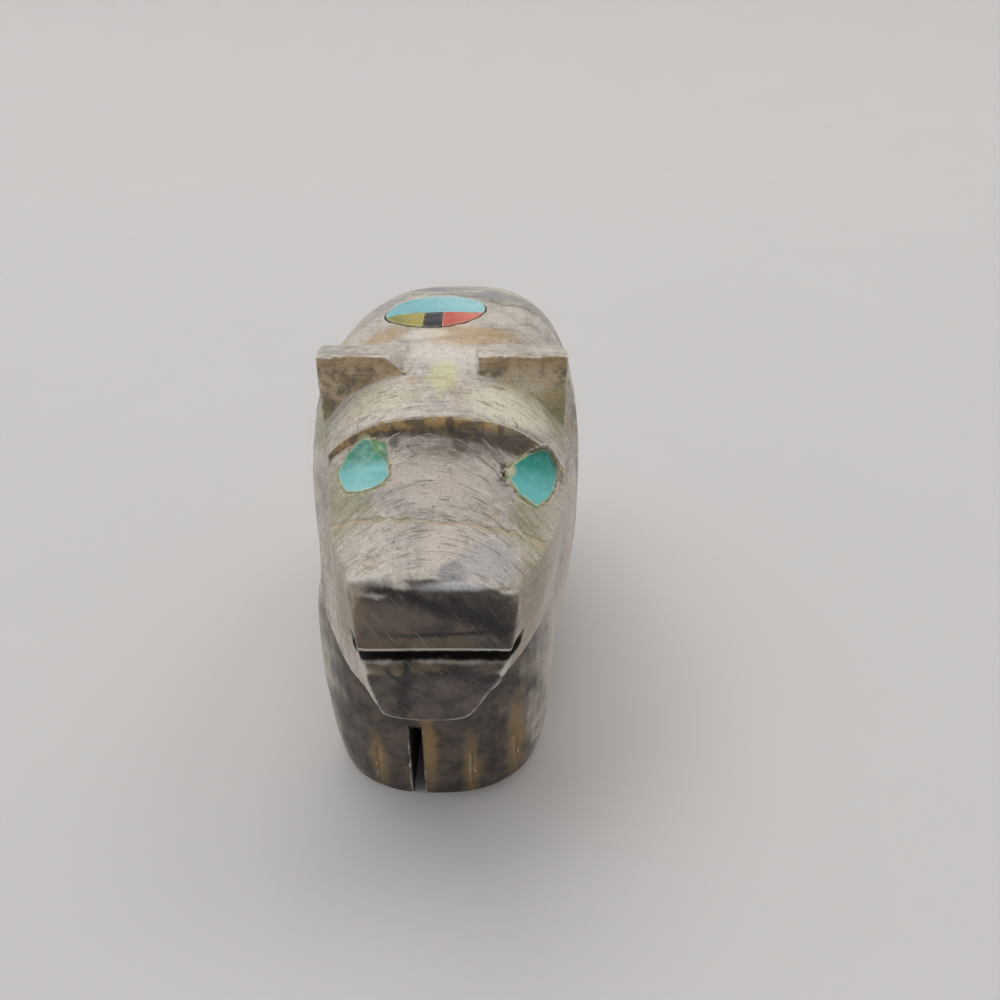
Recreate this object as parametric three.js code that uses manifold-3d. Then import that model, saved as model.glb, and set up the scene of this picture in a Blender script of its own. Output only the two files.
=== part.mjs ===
// A small bear carved from one piece of veined stone, with turquoise eyes and a round
// four-piece inlay on its back. Millimetres, +Z up, the bear faces -Y and stands on its feet.
// The origin is the middle of its footprint, on the surface that it stands on.
import * as THREE from "three";
import { mergeVertices } from "three/addons/utils/BufferGeometryUtils.js";
import Module from "manifold-3d";

const wasm = await Module();
wasm.setup();

// Driving dimensions

const LENGTH = 68;
const WIDTH = 28.4;
const HEIGHT = 44.8;

// The carving's front reaches this Y. Heights and depths behind it are read off the side view.
const FRONT_Y = -LENGTH / 2;
const LIP_REACH = 1.2;
const NOSE_Y = FRONT_Y + LIP_REACH;

// Trunk, a rounded block that narrows to the rump
const TRUNK = {
  frontY: NOSE_Y + 9,
  widestY: NOSE_Y + 30,
  backY: LENGTH / 2,
  middleZ: 22,
  bottomZ: -20,
  frontPower: 2.8,
  backPower: 2.3,
  topPower: 3.3,
  sidePower: 3.4,
  rumpSlope: 4,
  waist: 1.1,
  haunchAt: 0.75,
  lean: 1.1,
  footTaper: 0.22,
  taperFromZ: 22,
};

// Chest and front feet, a block with a blunt bow
const CHEST = {
  offsetX: -0.9,
  halfWidth: 12.4,
  frontY: NOSE_Y + 5.2,
  widestY: NOSE_Y + 18,
  backY: NOSE_Y + 27,
  middleZ: 10,
  halfHeight: 14,
  power: 2.5,
  uprightPower: 5,
  footTaper: 0.07,
};

// Head: a wedge that is set a little to the right of the trunk's middle. The upper lip, its
// foremost line, lies a third of the way up it.
const HEAD = {
  middleX: 0.45,
  backY: NOSE_Y + 19.1,
  topZ: 43.3,
  noseZ: 29.4,
  chinY: NOSE_Y + 1.5,
  chinZ: 14.3,
  jawPower: 2.6,
};
const LIP_Z = HEAD.chinZ + (HEAD.topZ - HEAD.chinZ) / 3;
const MOUTH = { kerf: 1, depth: 3.1 };

// Forehead and snout are ground convex from side to side, each one step lower than the last
const FOREHEAD = {
  frontY: NOSE_Y + 11,
  frontZ: 39.6,
  backY: NOSE_Y + 15.4,
  backZ: 41.8,
  sideX: 10.8,
  sideDrop: 4.6,
  power: 3,
};
const SNOUT = {
  backY: NOSE_Y + 10.6,
  backZ: 38.2,
  sag: 0.7,
  lean: 0.07,
  sideX: 10.5,
  backDrop: 4,
  noseDrop: 1.4,
  power: 2.6,
};

// Ears: what the groove between them leaves of the ridge across the head
const EARS = {
  grooveLeft: -2.6,
  grooveRight: 3.7,
  leftChamfer: 1.8,
  grooveFrontZ: 41.7,
  grooveBackZ: 44.4,
  grooveRun: 6,
};

// A wheel groove down each side of the neck, behind the ear and the cheek
const NECK = {
  wheelRadius: 3.2,
  depth: 0.9,
  y: NOSE_Y + 20.6,
  topX: 11.6,
  topZ: 41,
  footX: 14.6,
  footZ: 26,
  overrun: 1.6,
};

// Legs: the gap under the belly, the saw cuts between left and right, the claw cuts
const BELLY = { frontY: NOSE_Y + 23, backY: NOSE_Y + 44, topZ: 12.5, power: 2.5 };
const FRONT_SLOT = { x: -2.6, width: 1.2, top: 9.6 };
const BACK_SLOT = { x: 0, width: 2, top: 12 };
const CLAWS = { xs: [-6.6, 2.85, 7.1], width: 0.9, depth: 1.3, top: 6.2, turn: 0.6 };

// Inlays, with the glue line between each stone and its neighbours
const GAP = 0.25;
const EYE_DEPTH = 1.8;
const EYE_PROUD = 0.15;
const LEFT_EYE = {
  x: -5.9,
  y: NOSE_Y + 8.7,
  corners: [
    [-1.9, -1.2], [-1.3, -2], [-0.1, -2.1], [0.8, -1.9], [1.7, -1.5], [2.2, -0.8],
    [2, 0.4], [1.1, 1.6], [0.4, 2.5], [-0.2, 2.5], [-1.6, 1.1], [-2.2, -0.3],
  ],
};
const RIGHT_EYE = {
  x: 8.6,
  y: NOSE_Y + 9.4,
  corners: [
    [-2.1, -0.6], [-1.5, -1.6], [-0.6, -2.2], [0.1, -2.6], [1.1, -1.8], [1.8, -0.8],
    [2.2, 0.5], [2, 1.4], [1.4, 2.3], [0.8, 2.6], [-0.6, 1.9], [-1.9, 0.8], [-2.4, 0.2],
  ],
};
const DISC = { x: -0.8, y: NOSE_Y + 26.9, radius: 5, bottomZ: 42.2, barWidth: 1.5, splitY: -1.35 };

// How finely the rounded forms are divided
const ROUND_STEPS = 56;
const LONG_STEPS = 44;
const HEAD_STEPS = { across: 2, along: 40, up: 15 };
const GROUND_STEPS = { across: 40, along: 12 };
const CURVE_STEPS = 24;

// How far a cutter reaches past the stone
const CLEAR = 5;

// Profile functions

/** A smooth function through [position, value] stations, level beyond its ends. */
function through(stations) {
  const slopes = stations.map((station, i) => {
    const before = stations[Math.max(i - 1, 0)];
    const after = stations[Math.min(i + 1, stations.length - 1)];
    return (after[1] - before[1]) / (after[0] - before[0]);
  });
  return (at) => {
    if (at <= stations[0][0]) return stations[0][1];
    const i = stations.findIndex((station) => at < station[0]) - 1;
    if (i < 0) return stations[stations.length - 1][1];
    const span = stations[i + 1][0] - stations[i][0];
    const t = (at - stations[i][0]) / span;
    const rise = stations[i + 1][1] - stations[i][1];
    const bend = t * t * (3 - 2 * t);
    const ease = t * (1 - t) * (1 - t) * slopes[i] - t * t * (1 - t) * slopes[i + 1];
    return stations[i][1] + rise * bend + span * ease;
  };
}

/** Superellipse fall-off: 1 in the middle, 0 at distance 1. */
function bulge(distance, power) {
  return Math.pow(Math.max(1 - Math.pow(Math.abs(distance), power), 0), 1 / power);
}

/** A number's power that keeps its sign, for rounded-square sections. */
function signedPower(value, power) {
  return Math.sign(value) * Math.pow(Math.abs(value), power);
}

// The head's upper and lower edges on both sides, measured from its middle, and their heights
const leftTop = through([
  [NOSE_Y - LIP_REACH, 6.3],
  [NOSE_Y + 0.6, 6.9],
  [NOSE_Y + 4.5, 8.7],
  [NOSE_Y + 8, 9.4],
  [NOSE_Y + 11, 9.8],
  [NOSE_Y + 15.4, 11],
  [NOSE_Y + 19.1, 11.3],
]);
const rightTop = through([
  [NOSE_Y - LIP_REACH, 6.3],
  [NOSE_Y + 0.6, 6.9],
  [NOSE_Y + 4.5, 9],
  [NOSE_Y + 8, 10.5],
  [NOSE_Y + 11, 10.9],
  [NOSE_Y + 15.4, 11.2],
  [NOSE_Y + 19.1, 11.3],
]);
const leftJaw = through([
  [NOSE_Y - LIP_REACH, 4.4],
  [NOSE_Y + 1.5, 5.4],
  [NOSE_Y + 3.2, 7.9],
  [NOSE_Y + 6.2, 10],
  [NOSE_Y + 9.8, 11.8],
  [NOSE_Y + 13.3, 12.7],
  [NOSE_Y + 17, 13],
]);
const rightJaw = through([
  [NOSE_Y - LIP_REACH, 1.8],
  [NOSE_Y + 1.5, 2.6],
  [NOSE_Y + 3.4, 5.8],
  [NOSE_Y + 6.3, 8.1],
  [NOSE_Y + 9.8, 10.1],
  [NOSE_Y + 13.3, 11.5],
  [NOSE_Y + 17, 12.2],
]);
const topEdgeZ = through([
  [NOSE_Y, 28.6],
  [NOSE_Y + 4.5, 31],
  [NOSE_Y + 10.5, 35.2],
  [NOSE_Y + 15.4, 39],
]);
const jawZ = through([
  [NOSE_Y + 1.5, HEAD.chinZ],
  [NOSE_Y + 3.3, 17.4],
  [NOSE_Y + 6.3, 19.3],
  [NOSE_Y + 9.8, 20.7],
  [NOSE_Y + 13.3, 23.5],
  [NOSE_Y + 17, 28],
]);

// Solids from three.js geometry

/** A closed three.js geometry as a solid that can be joined and cut. */
function solid(geometry) {
  const bare = geometry.clone();
  bare.deleteAttribute("normal");
  bare.deleteAttribute("uv");
  const merged = mergeVertices(bare, 1e-4);
  return new wasm.Manifold(
    new wasm.Mesh({
      numProp: 3,
      vertProperties: merged.attributes.position.array,
      triVerts: new Uint32Array(merged.index.array),
    }),
  );
}

/** A solid's surface as a three.js geometry. */
function geometryOf(made) {
  const mesh = made.getMesh();
  const geometry = new THREE.BufferGeometry();
  geometry.setAttribute("position", new THREE.BufferAttribute(mesh.vertProperties, 3));
  geometry.setIndex(new THREE.BufferAttribute(mesh.triVerts, 1));
  geometry.computeVertexNormals();
  return geometry;
}

/** Moves every vertex of a geometry to where the function puts it. */
function moved(geometry, place) {
  const position = geometry.attributes.position;
  const point = new THREE.Vector3();
  for (let i = 0; i < position.count; i += 1) {
    point.fromBufferAttribute(position, i);
    place(point);
    position.setXYZ(i, point.x, point.y, point.z);
  }
  return geometry;
}

/** A box between two corners. */
function box(low, high) {
  const size = high.map((value, i) => value - low[i]);
  const middle = high.map((value, i) => (value + low[i]) / 2);
  return solid(new THREE.BoxGeometry(...size).translate(...middle));
}

/** What lies above the surface z(x, y), between two X and two Y values. */
function above([fromX, toX], [fromY, toY], surface) {
  const { across, along } = GROUND_STEPS;
  const blank = new THREE.BoxGeometry(toX - fromX, toY - fromY, 1, across, along, 1);
  blank.translate((fromX + toX) / 2, (fromY + toY) / 2, 0);
  moved(blank, (p) => {
    p.z = p.z < 0 ? surface(p.x, p.y) : HEIGHT + CLEAR;
  });
  return solid(blank);
}

// The stone

/** How much narrower the trunk is at a share of the way from its widest place to the rump. */
function waistAt(share) {
  return TRUNK.waist * Math.sin(Math.PI * THREE.MathUtils.clamp(share / TRUNK.haunchAt, 0, 1)) ** 2;
}

/** The trunk's width at a height, as a share of its width above the legs. */
function legTaper(z) {
  const down = THREE.MathUtils.clamp(1 - z / TRUNK.taperFromZ, 0, 1);
  return 1 - TRUNK.footTaper * Math.pow(down, 1.5);
}

/** The trunk: rounded back and flanks, a little waist, a lower rump, legs drawn in downwards. */
function trunk() {
  const blank = new THREE.SphereGeometry(1, ROUND_STEPS, LONG_STEPS);
  return solid(
    moved(blank, (p) => {
      const ring = Math.hypot(p.x, p.z);
      const front = p.y < 0;
      const power = front ? TRUNK.frontPower : TRUNK.backPower;
      const reach = front ? TRUNK.widestY - TRUNK.frontY : TRUNK.backY - TRUNK.widestY;
      const along = signedPower(p.y, 2 / power);
      const scale = Math.pow(ring, 2 / power);
      const across = ring > 0 ? p.x / ring : 0;
      const up = ring > 0 ? p.z / ring : 0;
      const topside = up > 0;
      const sectionPower = topside ? TRUNK.topPower : TRUNK.sidePower;
      const slope = front ? 0 : TRUNK.rumpSlope * along * along;
      const rise = topside ? HEIGHT - TRUNK.middleZ - slope : TRUNK.middleZ - TRUNK.bottomZ;
      const lean = topside ? TRUNK.lean * up * up * scale : 0;
      p.z = TRUNK.middleZ + rise * scale * signedPower(up, 2 / sectionPower);
      const halfWidth = (WIDTH / 2 - waistAt(along)) * legTaper(p.z);
      p.x = lean + halfWidth * scale * signedPower(across, 2 / sectionPower);
      p.y = TRUNK.widestY + reach * along;
    }),
  );
}

/** Chest and front feet: bow-shaped from above and nearly upright, drawn in a little at the foot. */
function chest() {
  const blank = new THREE.SphereGeometry(1, ROUND_STEPS, LONG_STEPS / 2).rotateX(Math.PI / 2);
  return solid(
    moved(blank, (p) => {
      const ring = Math.hypot(p.x, p.y);
      const scale = Math.pow(ring, 2 / CHEST.uprightPower);
      const across = ring > 0 ? p.x / ring : 0;
      const along = ring > 0 ? p.y / ring : 0;
      const reach = along < 0 ? CHEST.widestY - CHEST.frontY : CHEST.backY - CHEST.widestY;
      const height = signedPower(p.z, 2 / CHEST.uprightPower);
      const draw = 1 - CHEST.footTaper * Math.max(-height, 0);
      p.x = CHEST.offsetX + CHEST.halfWidth * draw * scale * signedPower(across, 2 / CHEST.power);
      p.y = CHEST.widestY + reach * scale * signedPower(along, 2 / CHEST.power);
      p.z = CHEST.middleZ + CHEST.halfHeight * height;
    }),
  );
}

/** Where the face lies at a height: it leans back from the lip, up to the nose and down to the chin. */
function faceY(z) {
  const noseLean = LIP_REACH / (HEAD.noseZ - LIP_Z);
  const chinLean = (HEAD.chinY - FRONT_Y) / (LIP_Z - HEAD.chinZ);
  return FRONT_Y + Math.max(noseLean * (z - LIP_Z), chinLean * (LIP_Z - z));
}

/** The head: narrow at the nose, widest at the cheeks, its underside rising from chin to cheek. */
function head() {
  const { across, along, up } = HEAD_STEPS;
  const blank = new THREE.BoxGeometry(2, 1, 1, across, along, up).translate(0, 0.5, 0.5);
  return solid(
    moved(blank, (p) => {
      const jawY = THREE.MathUtils.lerp(HEAD.chinY, HEAD.backY, p.y);
      p.z = THREE.MathUtils.lerp(jawZ(jawY), HEAD.topZ, p.z);
      p.y = THREE.MathUtils.lerp(faceY(p.z), HEAD.backY, p.y);
      const low = jawZ(p.y);
      const high = topEdgeZ(p.y);
      const share = THREE.MathUtils.clamp((high - p.z) / (high - low), 0, 1);
      const top = p.x < 0 ? leftTop(p.y) : rightTop(p.y);
      const jaw = p.x < 0 ? leftJaw(p.y) : rightJaw(p.y);
      p.x = HEAD.middleX + p.x * THREE.MathUtils.lerp(top, jaw, Math.pow(share, HEAD.jawPower));
    }),
  );
}

/** How far a surface ground convex from side to side has fallen, at x from the head's middle. */
function sideFall(x, { sideX, power }, drop) {
  return drop * Math.pow(Math.abs(x - HEAD.middleX) / sideX, power);
}

/** The height of the forehead. */
function foreheadZ(x, y) {
  const share = (y - FOREHEAD.frontY) / (FOREHEAD.backY - FOREHEAD.frontY);
  const middle = THREE.MathUtils.lerp(FOREHEAD.frontZ, FOREHEAD.backZ, share);
  return middle - sideFall(x, FOREHEAD, FOREHEAD.sideDrop);
}

/** The height of the snout, which runs in a slight hollow from the brow down to the nose. */
function snoutZ(x, y) {
  const share = (y - NOSE_Y) / (SNOUT.backY - NOSE_Y);
  const sag = SNOUT.sag * 4 * share * (1 - share);
  const middle = THREE.MathUtils.lerp(HEAD.noseZ, SNOUT.backZ, share) - sag;
  const drop = THREE.MathUtils.lerp(SNOUT.noseDrop, SNOUT.backDrop, share);
  return middle - SNOUT.lean * (x - HEAD.middleX) - sideFall(x, SNOUT, drop);
}

/** The height of the floor of the groove between the ears, and of the chamfer on its left. */
function grooveZ(x, y) {
  const share = (y - FOREHEAD.backY) / EARS.grooveRun;
  const floor = THREE.MathUtils.lerp(EARS.grooveFrontZ, EARS.grooveBackZ, share);
  const chamfer = Math.max(EARS.grooveLeft - x, 0) / EARS.leftChamfer;
  return floor + chamfer * (HEAD.topZ - EARS.grooveFrontZ);
}

/** Everything above the forehead, in front of the ears. */
function foreheadCut() {
  return above([-WIDTH / 2, WIDTH / 2], [FRONT_Y - CLEAR, FOREHEAD.backY], foreheadZ);
}

/** Everything above the snout, in front of the brow. */
function snoutCut() {
  return above([-WIDTH / 2, WIDTH / 2], [FRONT_Y - CLEAR, SNOUT.backY], snoutZ);
}

/** The wide groove that parts the ears, sloped on the left ear and steep on the right. */
function earGroove() {
  const fromX = EARS.grooveLeft - EARS.leftChamfer;
  return above([fromX, EARS.grooveRight], [FOREHEAD.frontY, FOREHEAD.backY + EARS.grooveRun], grooveZ);
}

/** One side's groove between the head and the shoulder, along a line that leans out downwards. */
function neckCut(side) {
  const top = new THREE.Vector3(side * NECK.topX, NECK.y, NECK.topZ);
  const foot = new THREE.Vector3(side * NECK.footX, NECK.y, NECK.footZ);
  const run = top.clone().sub(foot);
  const outward = new THREE.Vector3(run.z * side, 0, -run.x * side).normalize();
  const length = run.length() * NECK.overrun;
  const wheel = new THREE.CylinderGeometry(NECK.wheelRadius, NECK.wheelRadius, length, CURVE_STEPS);
  const upward = new THREE.Vector3(0, 1, 0);
  wheel.applyQuaternion(new THREE.Quaternion().setFromUnitVectors(upward, run.clone().normalize()));
  const middle = top.clone().add(foot).multiplyScalar(0.5);
  middle.addScaledVector(outward, NECK.wheelRadius - NECK.depth);
  return solid(wheel.translate(middle.x, middle.y, middle.z));
}

/** The saw cut of the mouth, under the upper lip and across the whole front. */
function mouthCut() {
  const low = [-WIDTH, FRONT_Y - CLEAR, LIP_Z - MOUTH.kerf];
  return box(low, [WIDTH, FRONT_Y + MOUTH.depth, LIP_Z]);
}

/** The arched gap under the belly, between the front and the hind legs. */
function bellyGap() {
  const halfLength = (BELLY.backY - BELLY.frontY) / 2;
  const middleY = (BELLY.backY + BELLY.frontY) / 2;
  const outline = new THREE.Shape();
  outline.moveTo(-halfLength, -CLEAR);
  outline.lineTo(halfLength, -CLEAR);
  for (let step = 0; step <= CURVE_STEPS; step += 1) {
    const share = Math.cos((Math.PI * step) / CURVE_STEPS);
    outline.lineTo(halfLength * share, BELLY.topZ * bulge(share, BELLY.power));
  }
  const arch = new THREE.ExtrudeGeometry(outline, { depth: 2 * WIDTH, bevelEnabled: false });
  arch.rotateX(Math.PI / 2).rotateZ(Math.PI / 2);
  return solid(arch.translate(-WIDTH, middleY, 0));
}

/** An upright saw cut with a round top, between a left and a right leg. */
function legSlot({ x, width, top }, fromY, toY) {
  const outline = new THREE.Shape();
  outline.moveTo(-width / 2, -CLEAR);
  outline.lineTo(width / 2, -CLEAR);
  outline.absarc(0, top - width / 2, width / 2, 0, Math.PI, false);
  const cut = new THREE.ExtrudeGeometry(outline, { depth: toY - fromY, bevelEnabled: false });
  return solid(cut.rotateX(Math.PI / 2).translate(x, toY, 0));
}

/** A shallow V cut that marks a claw on a front foot. */
function clawCut(x) {
  const outline = new THREE.Shape();
  outline.moveTo(-CLAWS.width / 2, -CLAWS.depth);
  outline.lineTo(CLAWS.width / 2, -CLAWS.depth);
  outline.lineTo(0, CLAWS.depth);
  const cut = new THREE.ExtrudeGeometry(outline, { depth: CLAWS.top + CLEAR, bevelEnabled: false });
  const side = (x - CHEST.offsetX) / CHEST.halfWidth;
  const y = CHEST.widestY - (CHEST.widestY - CHEST.frontY) * bulge(side, CHEST.power);
  return solid(cut.rotateZ(-Math.asin(side) * CLAWS.turn).translate(x, y, -CLEAR));
}

/** A prism on an eye's outline, square to the snout there, from below its surface to above it. */
function eyePrism({ x, y, corners }, grow, below, over) {
  const step = 0.5;
  const across = new THREE.Vector3(2 * step, 0, snoutZ(x + step, y) - snoutZ(x - step, y));
  const along = new THREE.Vector3(0, 2 * step, snoutZ(x, y + step) - snoutZ(x, y - step));
  const normal = across.clone().cross(along).normalize();
  along.normalize();
  across.crossVectors(along, normal);
  const outline = new THREE.Shape(
    corners.map(([u, v]) => {
      const corner = new THREE.Vector2(u, v);
      return corner.setLength(corner.length() + grow);
    }),
  );
  const prism = new THREE.ExtrudeGeometry(outline, { depth: below + over, bevelEnabled: false });
  prism.translate(0, 0, -below);
  prism.applyMatrix4(new THREE.Matrix4().makeBasis(across, along, normal));
  return solid(prism.translate(x, y, snoutZ(x, y)));
}

/** An upright disc at the back's inlay, from a floor up through the back. */
function upright(radius, bottomZ) {
  const height = HEIGHT + CLEAR - bottomZ;
  const disc = new THREE.CylinderGeometry(radius, radius, height, 2 * CURVE_STEPS);
  return solid(disc.rotateX(Math.PI / 2).translate(DISC.x, DISC.y, bottomZ + height / 2));
}

/** The part of the back's inlay between two corners, measured from its middle. */
function inlayPart(disc, [fromX, fromY], [toX, toY]) {
  const low = [DISC.x + fromX, DISC.y + fromY, 0];
  return disc.intersect(box(low, [DISC.x + toX, DISC.y + toY, HEIGHT + CLEAR]));
}

/** The uncut stone: trunk, chest and head in one. */
function blankStone() {
  return trunk().add(chest()).add(head());
}

/** Everything that the carver takes off the blank. */
function carvedStone() {
  const cuts = [
    foreheadCut(),
    snoutCut(),
    earGroove(),
    neckCut(-1),
    neckCut(1),
    mouthCut(),
    bellyGap(),
    legSlot(FRONT_SLOT, FRONT_Y, BELLY.frontY + CLEAR),
    legSlot(BACK_SLOT, BELLY.backY - CLEAR, TRUNK.backY + CLEAR),
    ...CLAWS.xs.map(clawCut),
    eyePrism(LEFT_EYE, GAP, EYE_DEPTH + GAP, CLEAR),
    eyePrism(RIGHT_EYE, GAP, EYE_DEPTH + GAP, CLEAR),
    upright(DISC.radius + GAP / 2, DISC.bottomZ - GAP),
    box([-WIDTH, -LENGTH, TRUNK.bottomZ - CLEAR], [WIDTH, LENGTH, 0]),
  ];
  return cuts.reduce((stone, cut) => stone.subtract(cut), blankStone());
}

/** The back's four inlays, flush with the curve of the back: rear, bar, left and right. */
function backInlays() {
  const disc = upright(DISC.radius - GAP / 2, DISC.bottomZ).intersect(trunk());
  const rim = DISC.radius;
  const bar = DISC.barWidth / 2;
  const rearFrom = DISC.splitY + GAP / 2;
  const frontTo = DISC.splitY - GAP / 2;
  return [
    inlayPart(disc, [-rim, rearFrom], [rim, rim]),
    inlayPart(disc, [-bar, -rim], [bar, frontTo]),
    inlayPart(disc, [-rim, -rim], [-bar - GAP, frontTo]),
    inlayPart(disc, [bar + GAP, -rim], [rim, frontTo]),
  ];
}

// The bear

/** A named mesh of one solid in its own finish. */
function piece(name, made, color, roughness) {
  const finish = new THREE.MeshStandardMaterial({ color, roughness, metalness: 0 });
  const mesh = new THREE.Mesh(geometryOf(made), finish);
  mesh.name = name;
  return mesh;
}

const [turquoise, jet, green, coral] = backInlays();

const bear = new THREE.Group();
bear.add(piece("stone_bear", carvedStone(), 0xb4aca0, 0.4));
bear.add(piece("left_eye_inlay", eyePrism(LEFT_EYE, 0, EYE_DEPTH, EYE_PROUD), 0x4fa08c, 0.3));
bear.add(piece("right_eye_inlay", eyePrism(RIGHT_EYE, 0, EYE_DEPTH, EYE_PROUD), 0x3d9788, 0.3));
bear.add(piece("back_inlay_turquoise", turquoise, 0x82c8cd, 0.3));
bear.add(piece("back_inlay_jet", jet, 0x1c1c1e, 0.25));
bear.add(piece("back_inlay_green", green, 0x919150, 0.35));
bear.add(piece("back_inlay_coral", coral, 0xc36e5f, 0.35));

export default bear;
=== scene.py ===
"""Looks of a small bear carved from veined stone, with turquoise eyes and an inlaid back.

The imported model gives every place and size. Sizes here are in millimetres unless a name says
metres, and the bear faces -Y with +Z up.
"""

import logging
import math
from dataclasses import dataclass, field
from enum import Enum
from functools import cache
from itertools import product
from typing import Any, Callable, Mapping, Sequence

import bmesh
import bpy
import numpy as np
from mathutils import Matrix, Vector
from mathutils.bvhtree import BVHTree


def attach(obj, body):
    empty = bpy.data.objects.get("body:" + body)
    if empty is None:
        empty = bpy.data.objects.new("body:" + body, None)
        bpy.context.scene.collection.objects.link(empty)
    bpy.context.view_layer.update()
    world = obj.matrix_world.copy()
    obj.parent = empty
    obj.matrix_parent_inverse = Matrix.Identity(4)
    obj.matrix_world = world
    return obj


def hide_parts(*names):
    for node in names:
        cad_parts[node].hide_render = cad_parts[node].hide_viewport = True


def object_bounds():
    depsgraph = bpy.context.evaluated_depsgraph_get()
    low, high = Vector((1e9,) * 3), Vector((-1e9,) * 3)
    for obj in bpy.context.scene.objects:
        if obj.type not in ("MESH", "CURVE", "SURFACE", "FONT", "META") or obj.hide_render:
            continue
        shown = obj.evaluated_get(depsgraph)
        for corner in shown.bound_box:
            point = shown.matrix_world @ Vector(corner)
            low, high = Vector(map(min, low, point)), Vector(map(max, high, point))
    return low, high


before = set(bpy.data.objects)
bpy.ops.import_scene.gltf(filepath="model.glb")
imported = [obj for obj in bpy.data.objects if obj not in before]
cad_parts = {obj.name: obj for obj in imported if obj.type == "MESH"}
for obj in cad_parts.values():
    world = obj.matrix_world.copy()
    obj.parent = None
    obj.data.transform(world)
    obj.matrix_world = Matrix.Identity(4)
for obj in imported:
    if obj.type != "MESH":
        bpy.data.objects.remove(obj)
CAD_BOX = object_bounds()

log = logging.getLogger("stone_bear")

MM = 0.001
BODY = "root"

# The sawn front: how far the nose leans back over the mouth, and the chin under it, at what height.
NOSE_BACK = 1.2
NOSE_HEIGHT = 5.43
CHIN_BACK = 2.7
CHIN_HEIGHT = 9.67

# The head's other places: its middle, the mouth's saw cut, the steps at the brow and before the ears.
FRONT_Y = CAD_BOX[0].y / MM
NOSE_Y = FRONT_Y + NOSE_BACK
HEAD_X = 0.45
LIP_Z = 23.97
KERF = 1.0
LIP_DROP = 0.3
STEP_Y = NOSE_Y + 10.6
EAR_Y = NOSE_Y + 15.4

# The brow's edge: its height in the middle, and how much it has sunk so far to the sides.
BROW_Z = 39.6
BROW_SAG = 4.6
BROW_REACH = 10.8

# The slot between the front legs.
SLOT_X = -2.6

# How much the grinding lines curve, on the forehead and how much more on the snout, in 1/mm.
FOREHEAD_CURL = 0.012
SNOUT_CURL = 0.032

Socket = bpy.types.NodeSocket
Triple = tuple[float, float, float]


class Mask(Enum):
    """What a mesh marks on its points for its finish."""

    WORN_EDGE_AND_HIGHLIGHT = "worn_edge"
    CREVICE_SHADE = "crevice"
    CUT_FACE = "cut_face"
    CHEST = "chest"
    HEAD_FRONT = "head_front"
    HEAD_TOP = "head_top"


class Part(Enum):
    """Which of an inlay's two finishes a face has."""

    STONE = 0
    GLUE = 1


# Colours and node trees


@dataclass(frozen=True)
class Tint:
    """A colour as an eye reads it off a screen, each part from 0 to 255."""

    red: int
    green: int
    blue: int

    @property
    def linear(self) -> tuple[float, float, float, float]:
        """The colour in Blender's linear light, with full alpha.

        Returns:
            Red, green, blue and alpha, from 0 to 1.
        """
        parts = []
        for value in (self.red, self.green, self.blue):
            share = value / 255
            parts.append(share / 12.92 if share <= 0.04045 else ((share + 0.055) / 1.055) ** 2.4)
        return (*parts, 1.0)


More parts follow.
